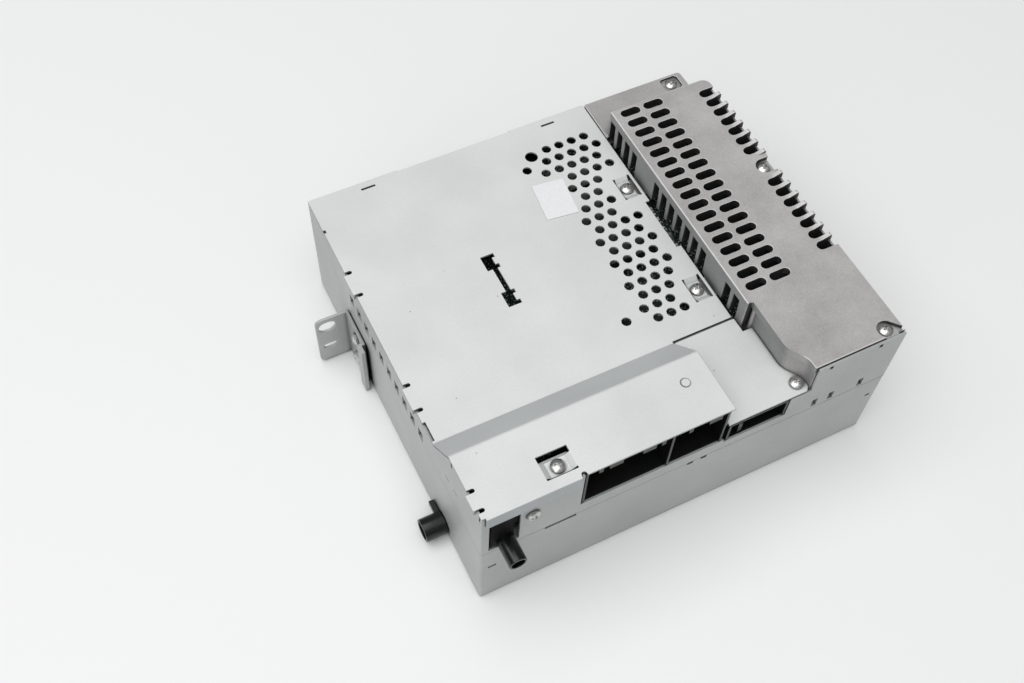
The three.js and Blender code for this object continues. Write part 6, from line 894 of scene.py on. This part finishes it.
# %% Fill all numbered regions
def refill_regions(shape, planes):
    """Refills every numbered region. A bevel's own faces carry a number too, but they leave the plane."""
    crossings = []
    numbers = shape.faces.layers.int.get(REGION_LAYER)
    groups = {}
    for face in shape.faces:
        if face[numbers]:
            groups.setdefault(face[numbers], []).append(face)
    for number, faces in groups.items():
        normal, corner = planes[number - 1]
        level = [face for face in faces
                 if all(abs((end.co - corner).dot(normal)) < PLANE_ROOM for end in face.verts)]
        crossings += refill(shape, level, normal, corner)
    return crossings


# %% [markdown]
# ## Normals
# Last come the normals, one for each corner of each face. At a corner that a flat face shares, only flat
# faces count, and of those only the ones that turn by less than a limit. Flat faces therefore stay flat,
# and only the narrow bevels between them turn the light. Every corner is compared with all others at its
# point, and numpy does this for the whole mesh at once, with one long list of pairs.

# %% Pair up the corners of faces
def corner_pairs(corner_points):
    """All ordered pairs of face corners that share a point, as two index arrays."""
    order = np.argsort(corner_points, kind="stable")
    counts = np.bincount(corner_points)
    starts = np.cumsum(counts) - counts
    repeats = counts[corner_points]
    first = np.repeat(np.arange(len(corner_points)), repeats)
    step = np.arange(repeats.sum()) - np.repeat(np.cumsum(repeats) - repeats, repeats)
    return first, order[np.repeat(starts[corner_points], repeats) + step]


def summed(values, places, count):
    """The rows of an array added up by place."""
    return np.stack([np.bincount(places, weights=column, minlength=count) for column in values.T], axis=1)


# %% Set the normals
NEAREST_FLAT = math.radians(45)
NEAREST_ROUND = math.radians(62)
LEAST_LENGTH = 1e-30


def set_normals(mesh, strong, limit):
    """Gives each corner the mean normal, weighted by area, of the flat faces around it that turn little.

    The limit says how little. A bevel's corners take the flat faces within an angle of their own face, or else
    the mean of the bevel faces around them."""
    faces = len(mesh.polygons)
    normals, areas, totals = np.empty(faces * 3), np.empty(faces), np.empty(faces, dtype=np.int32)
    mesh.polygons.foreach_get("normal", normals)
    mesh.polygons.foreach_get("area", areas)
    mesh.polygons.foreach_get("loop_total", totals)
    points = np.empty(len(mesh.loops), dtype=np.int32)
    mesh.loops.foreach_get("vertex_index", points)
    owner = np.repeat(np.arange(faces), totals)
    normals = normals.reshape(-1, 3)
    first, second = corner_pairs(points)
    turn = (normals[owner[first]] * normals[owner[second]]).sum(axis=1)
    least = np.where(strong[owner[first]], math.cos(limit), math.cos(NEAREST_FLAT))
    weighted = normals[owner[second]] * areas[owner[second], None]
    flat = strong[owner[second]] & (turn > least)
    from_flat = summed(weighted * flat[:, None], first, len(points))
    from_round = summed(weighted * (turn > math.cos(NEAREST_ROUND))[:, None], first, len(points))
    has_flat = np.abs(from_flat).sum(axis=1) > 0.0
    chosen = np.where(has_flat[:, None], from_flat, from_round)
    length = np.maximum(np.linalg.norm(chosen, axis=1, keepdims=True), LEAST_LENGTH)
    mesh.normals_split_custom_set((chosen / length).tolist())


# %% [markdown]
# ## The rounded pieces
# Now the steps come together: weld, weigh, bevel and refill, again and again until no border crosses
# itself, then the normals. Each piece has two radii in millimetres, one for plain edges and one for bends.
# A shallow edge between narrow faces belongs to a curved wall and stays as it is. The limit says how
# shallow that is.

# %% Round a solid
SHEET_LIMIT = math.radians(28)
CROSSING_REACH = 0.4 * MM
MOST_TRIES = 8
BEVEL_SEGMENTS = 3


def rounded(node, material, width_mm, bend_mm, limit=SHEET_LIMIT):
    """A welded copy of a solid with its bends and corners rounded to their own radii."""
    mesh = bpy.data.meshes.new(node + "_finished")
    spots = []
    for attempt in range(MOST_TRIES):
        shape, planes = welded(node)
        weigh_edges(shape, width_mm * MM, bend_mm * MM, limit, spots)
        for face in shape.faces:
            face.smooth = True
        shape.to_mesh(mesh)
        shape.free()
        shape = bevelled(mesh, bend_mm * MM, BEVEL_SEGMENTS)
        crossings = refill_regions(shape, planes)
        if not crossings:
            break
        spots += [(spot, CROSSING_REACH * (attempt + 1) ** 2) for spot in crossings]
    strengths = shape.faces.layers.int.get(STRENGTH_LAYER)
    strong = np.array([face[strengths] == STRONG for face in shape.faces])
    shape.to_mesh(mesh)
    shape.free()
    set_normals(mesh, strong, limit)
    mesh.materials.append(material)
    piece = bpy.data.objects.new(node + "_finished", mesh)
    scene.collection.objects.link(piece)
    stand_in_for(piece, node)
    print(node, "attempts", attempt + 1, "crossings left", len(crossings), "faces", len(mesh.polygons))
    return piece


# %% The radii of each piece, in mm
CAST_LIMIT = math.radians(50)
SHEARED = 0.15
SHEET_BEND = 0.7
TRAY_BEND = 1.1
# Each node has its finish, the radius of its plain edges, that of its bends, and a casting also its limit.
ROUNDED = {
    "top_cover": (cover_zinc, SHEARED, SHEET_BEND),
    "right_plate": (cover_zinc, SHEARED, SHEET_BEND),
    "upper_frame": (chassis_zinc, SHEARED, SHEET_BEND),
    "lower_chassis": (chassis_zinc, SHEARED, TRAY_BEND),
    "heat_sink": (sink_alloy, 0.35, 0.6, CAST_LIMIT),
    "mounting_bracket": (chassis_zinc, 0.2, 0.8),
    "main_connector_housing": (black_nylon, 0.12, 0.2),
    "small_connector_housing": (black_nylon, 0.12, 0.2),
    "rear_antenna_jack": (glossy_nylon, 0.25, 0.3),
    "left_antenna_jack": (glossy_nylon, 0.25, 0.3),
    "slot_bezel": (black_nylon, 0.4, 0.8),
    "front_panel": (chassis_zinc, SHEARED, 0.4),
    "display_socket": (black_nylon, 0.15, 0.25),
    "main_board": (green_board, 0.1, 0.15),
}
finished = {node: rounded(node, *choice) for node, choice in ROUNDED.items()}


# %% [markdown]
# ## The block of the rear antenna jack
# Only the barrel of the rear jack stands out into the light, and it is glossy. Its block sits in a dark
# window behind the panel and looks almost black, so it gets painted shade: a darker material with a weak
# shine. A mesh can hold two materials, and each face then says which one it has. The plane of the rear
# panel divides them.

# %% A block in painted shade behind the panel
REAR_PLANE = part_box("upper_frame")[0][1]


def paint_shade_behind(piece, plane, material):
    """Gives a second material, in painted shade, to all faces whose middle lies on the unit's side of the rear
    plane.
    """
    mesh = piece.data
    mesh.materials.append(material)
    middles = np.empty(len(mesh.polygons) * 3)
    mesh.polygons.foreach_get("center", middles)
    behind = middles.reshape(-1, 3)[:, 1] > plane
    mesh.polygons.foreach_set("material_index", behind.astype(np.int32))
    return int(behind.sum())


print("dull faces:", paint_shade_behind(finished["rear_antenna_jack"], REAR_PLANE, painted_shade_nylon))


# %% [markdown]
# ## Pan-head screws
# Ten screws hold the skin. Each has a low dome over a short straight rim, with a cross recess for the
# driver. The head is worked out on a polar grid: rings from the middle to the rim, and spokes around. The
# dome falls as a circle's arc. The cross is the union of two bars, and its depth is blended in over a tenth
# or two of a millimetre, so that its walls slope a little as they do in a pressed recess.

# %% The head and its cross, in mm
HEAD_HEIGHT = 2.0
HEAD_DOME_SHARE = 0.55
DOME_MARGIN = 0.08
CROSS_REACH = 1.55
CROSS_WIDTH = 0.74
CROSS_DEPTH = 0.95
CROSS_BLEND = 0.16
END_BLEND = 3 * CROSS_BLEND
SCREW_SPOKES = 72
HEAD_RINGS = 44


def soft_step(value):
    """0 below 0, 1 above 1, and a smooth rise between them."""
    share = np.clip(value, 0.0, 1.0)
    return share * share * (3.0 - 2.0 * share)


def bar_depth(along, across):
    """1 inside a bar of the cross, 0 outside, blended at its long edges and fading towards its ends."""
    side = soft_step((CROSS_WIDTH / 2 - across) / CROSS_BLEND + 0.5)
    return side * soft_step((CROSS_REACH - along) / END_BLEND)


def cross_depth(u, v):
    """The deeper of the two bars, one along u and one along v."""
    return np.maximum(bar_depth(np.abs(u), np.abs(v)), bar_depth(np.abs(v), np.abs(u)))


def head_rings(radius, turn, angle):
    """The rings of a head's top: a circle's arc over the distance from the middle, less the turned cross."""
    ring = np.linspace(0.0, 1.0, HEAD_RINGS + 1)[1:, None] * (radius - DOME_MARGIN)
    u = ring * np.cos(angle)
    v = ring * np.sin(angle)
    rise = HEAD_HEIGHT * HEAD_DOME_SHARE
    sphere = (radius ** 2 + rise ** 2) / (2.0 * rise)
    dome = HEAD_HEIGHT - (sphere - np.sqrt(sphere ** 2 - ring ** 2))
    turned_u = u * math.cos(turn) + v * math.sin(turn)
    turned_v = v * math.cos(turn) - u * math.sin(turn)
    top = dome - CROSS_DEPTH * cross_depth(turned_u, turned_v)
    return np.stack((u, v, top), axis=2).reshape(-1, 3)


# %% The rest of a screw, in mm
SHANK_RADIUS = 1.3
SHANK_LENGTH = 3.0
RIM_TURN_SHARE = 0.3
UNDER_MARGIN = 0.15


def screw_profile(radius):
    """Radius and height pairs down the outside: the rim, the underside, the shank and its end."""
    rim = HEAD_HEIGHT * (1.0 - HEAD_DOME_SHARE)
    return np.array([(radius, rim), (radius, rim * RIM_TURN_SHARE), (radius - UNDER_MARGIN, 0.0),
                     (SHANK_RADIUS, 0.0), (SHANK_RADIUS, -SHANK_LENGTH)])


def screw_points(radius, turn):
    """All rings of one screw about +Z, from the middle of the head to the end of the shank.

    Each pair of the profile makes a ring: its radius times the angle's cosine and sine, at its height."""
    angle = np.linspace(0.0, 2.0 * math.pi, SCREW_SPOKES, endpoint=False)
    far, level = screw_profile(radius).T[:, :, None]
    outside = np.stack(np.broadcast_arrays(far * np.cos(angle), far * np.sin(angle), level), axis=2)
    middle = [[0.0, 0.0, HEAD_HEIGHT - CROSS_DEPTH]]
    end = [[0.0, 0.0, -SHANK_LENGTH]]
    return np.concatenate([middle, head_rings(radius, turn, angle), outside.reshape(-1, 3), end])


def ring_faces(rings, spokes):
    """Triangles around the first point, quads between rings, and triangles around the last point."""
    here = np.arange(spokes)
    after = (here + 1) % spokes
    row = (1 + np.arange(rings) * spokes)[:, None]
    near, far = row[:-1], row[1:]
    quads = np.stack((near + here, far + here, far + after, near + after), axis=2).reshape(-1, 4)
    first = np.stack((np.zeros(spokes, dtype=int), 1 + here, 1 + after), axis=1)
    start = row[-1, 0]
    last = np.stack((start + here, np.full(spokes, start + spokes), start + after), axis=1)
    return first.tolist() + quads.tolist() + last.tolist()


# %% [markdown]
# ## The screws in their places
# Seven screws stand upright and three lie: one in the rear panel and two in the bracket. Each takes its
# place and its head's width from the box of the node that it replaces. The points are laid down by swapping
# axes. Each cross is turned by its own angle, because nobody stops all screws at the same turn.

# %% Place the screws
TURN_STEP = 0.7
CREASE = math.radians(40)
SIDEWAYS_SCREWS = {"screw_rear_panel": "y", "screw_bracket_low": "x", "screw_bracket_high": "x"}


def solid_piece(name, points, faces, material):
    """A smooth-shaded object from points in metres and faces, with creases where it turns sharply."""
    mesh = bpy.data.meshes.new(name)
    mesh.from_pydata(points.tolist(), [], faces)
    mesh.materials.append(material)
    mesh.polygons.foreach_set("use_smooth", np.ones(len(mesh.polygons), dtype=bool))
    mesh.set_sharp_from_angle(angle=CREASE)
    piece = bpy.data.objects.new(name, mesh)
    scene.collection.objects.link(piece)
    return piece


def finished_screw(node, turn):
    """A screw in the place of a node. Its head ends where the node's box ends on the side that it faces."""
    low, high = (np.array(corner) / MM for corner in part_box(node))
    facing = SIDEWAYS_SCREWS.get(node, "z")
    centre = (low + high) / 2.0
    radius = (high - low)[("xyz".index(facing) + 1) % 3] / 2.0
    points = screw_points(radius, turn)
    if facing == "z":
        placed = points + (centre[0], centre[1], high[2] - HEAD_HEIGHT)
    elif facing == "y":
        placed = np.stack((points[:, 0], -points[:, 2], points[:, 1]), axis=1)
        placed += (centre[0], low[1] + HEAD_HEIGHT, centre[2])
    else:
        placed = np.stack((-points[:, 2], -points[:, 0], points[:, 1]), axis=1)
        placed += (low[0] + HEAD_HEIGHT, centre[1], centre[2])
    faces = ring_faces(HEAD_RINGS + len(screw_profile(radius)), SCREW_SPOKES)
    piece = solid_piece(node + "_finished", placed * MM, faces, plated_steel)
    stand_in_for(piece, node)
    return piece


SCREWS = [node for node in frame["nodes"] if node.startswith("screw_")]
for place_in_row, node in enumerate(SCREWS):
    screw = finished_screw(node, TURN_STEP * place_in_row)
print("screws:", len(SCREWS), "faces each:", len(screw.data.polygons))


# %% [markdown]
# ## Finishes for the solids that stay
# The remaining solids already have the right shape. They keep it and only change what they are made of.
# Most take the finish of their slot in the record, and a few have one of their own.

# %% Finishes
FINISHES = {
    "galvanised_sheet": inner_zinc,
    "cast_aluminium": sink_alloy,
    "bright_steel": plated_steel,
    "tin_plate": tin_plate,
    "black_plastic": black_nylon,
    "grey_plastic": grey_plastic,
    "white_plastic": white_acetal,
    "gold_contact": contact_brass,
    "board_green": green_board,
    "rubber": black_rubber,
    "paper_label": label_paper,
    "lens_glass": lens_plastic,
}
OWN_FINISH = {
    "pin_header": tinned_pins,
    "processor": chip_resin,
    "amplifier_chip": chip_resin,
    "capacitor_rear": chip_resin,
    "capacitor_front": chip_resin,
    "spindle_motor": motor_steel,
    "sled_motor": motor_steel,
    "loading_motor": motor_steel,
    "loading_roller": black_rubber,
}


def finish_solid(node, material):
    """Puts a material on every slot of a node's object."""
    for slot in frame["nodes"][node].material_slots:
        slot.link = "OBJECT"
        slot.material = material


REMADE = set(ROUNDED) | set(SCREWS)
for node in frame["nodes"]:
    if node not in REMADE:
        finish_solid(node, OWN_FINISH.get(node, FINISHES[slot_of(node)]))
print("finished solids:", len(frame["nodes"]) - len(REMADE))
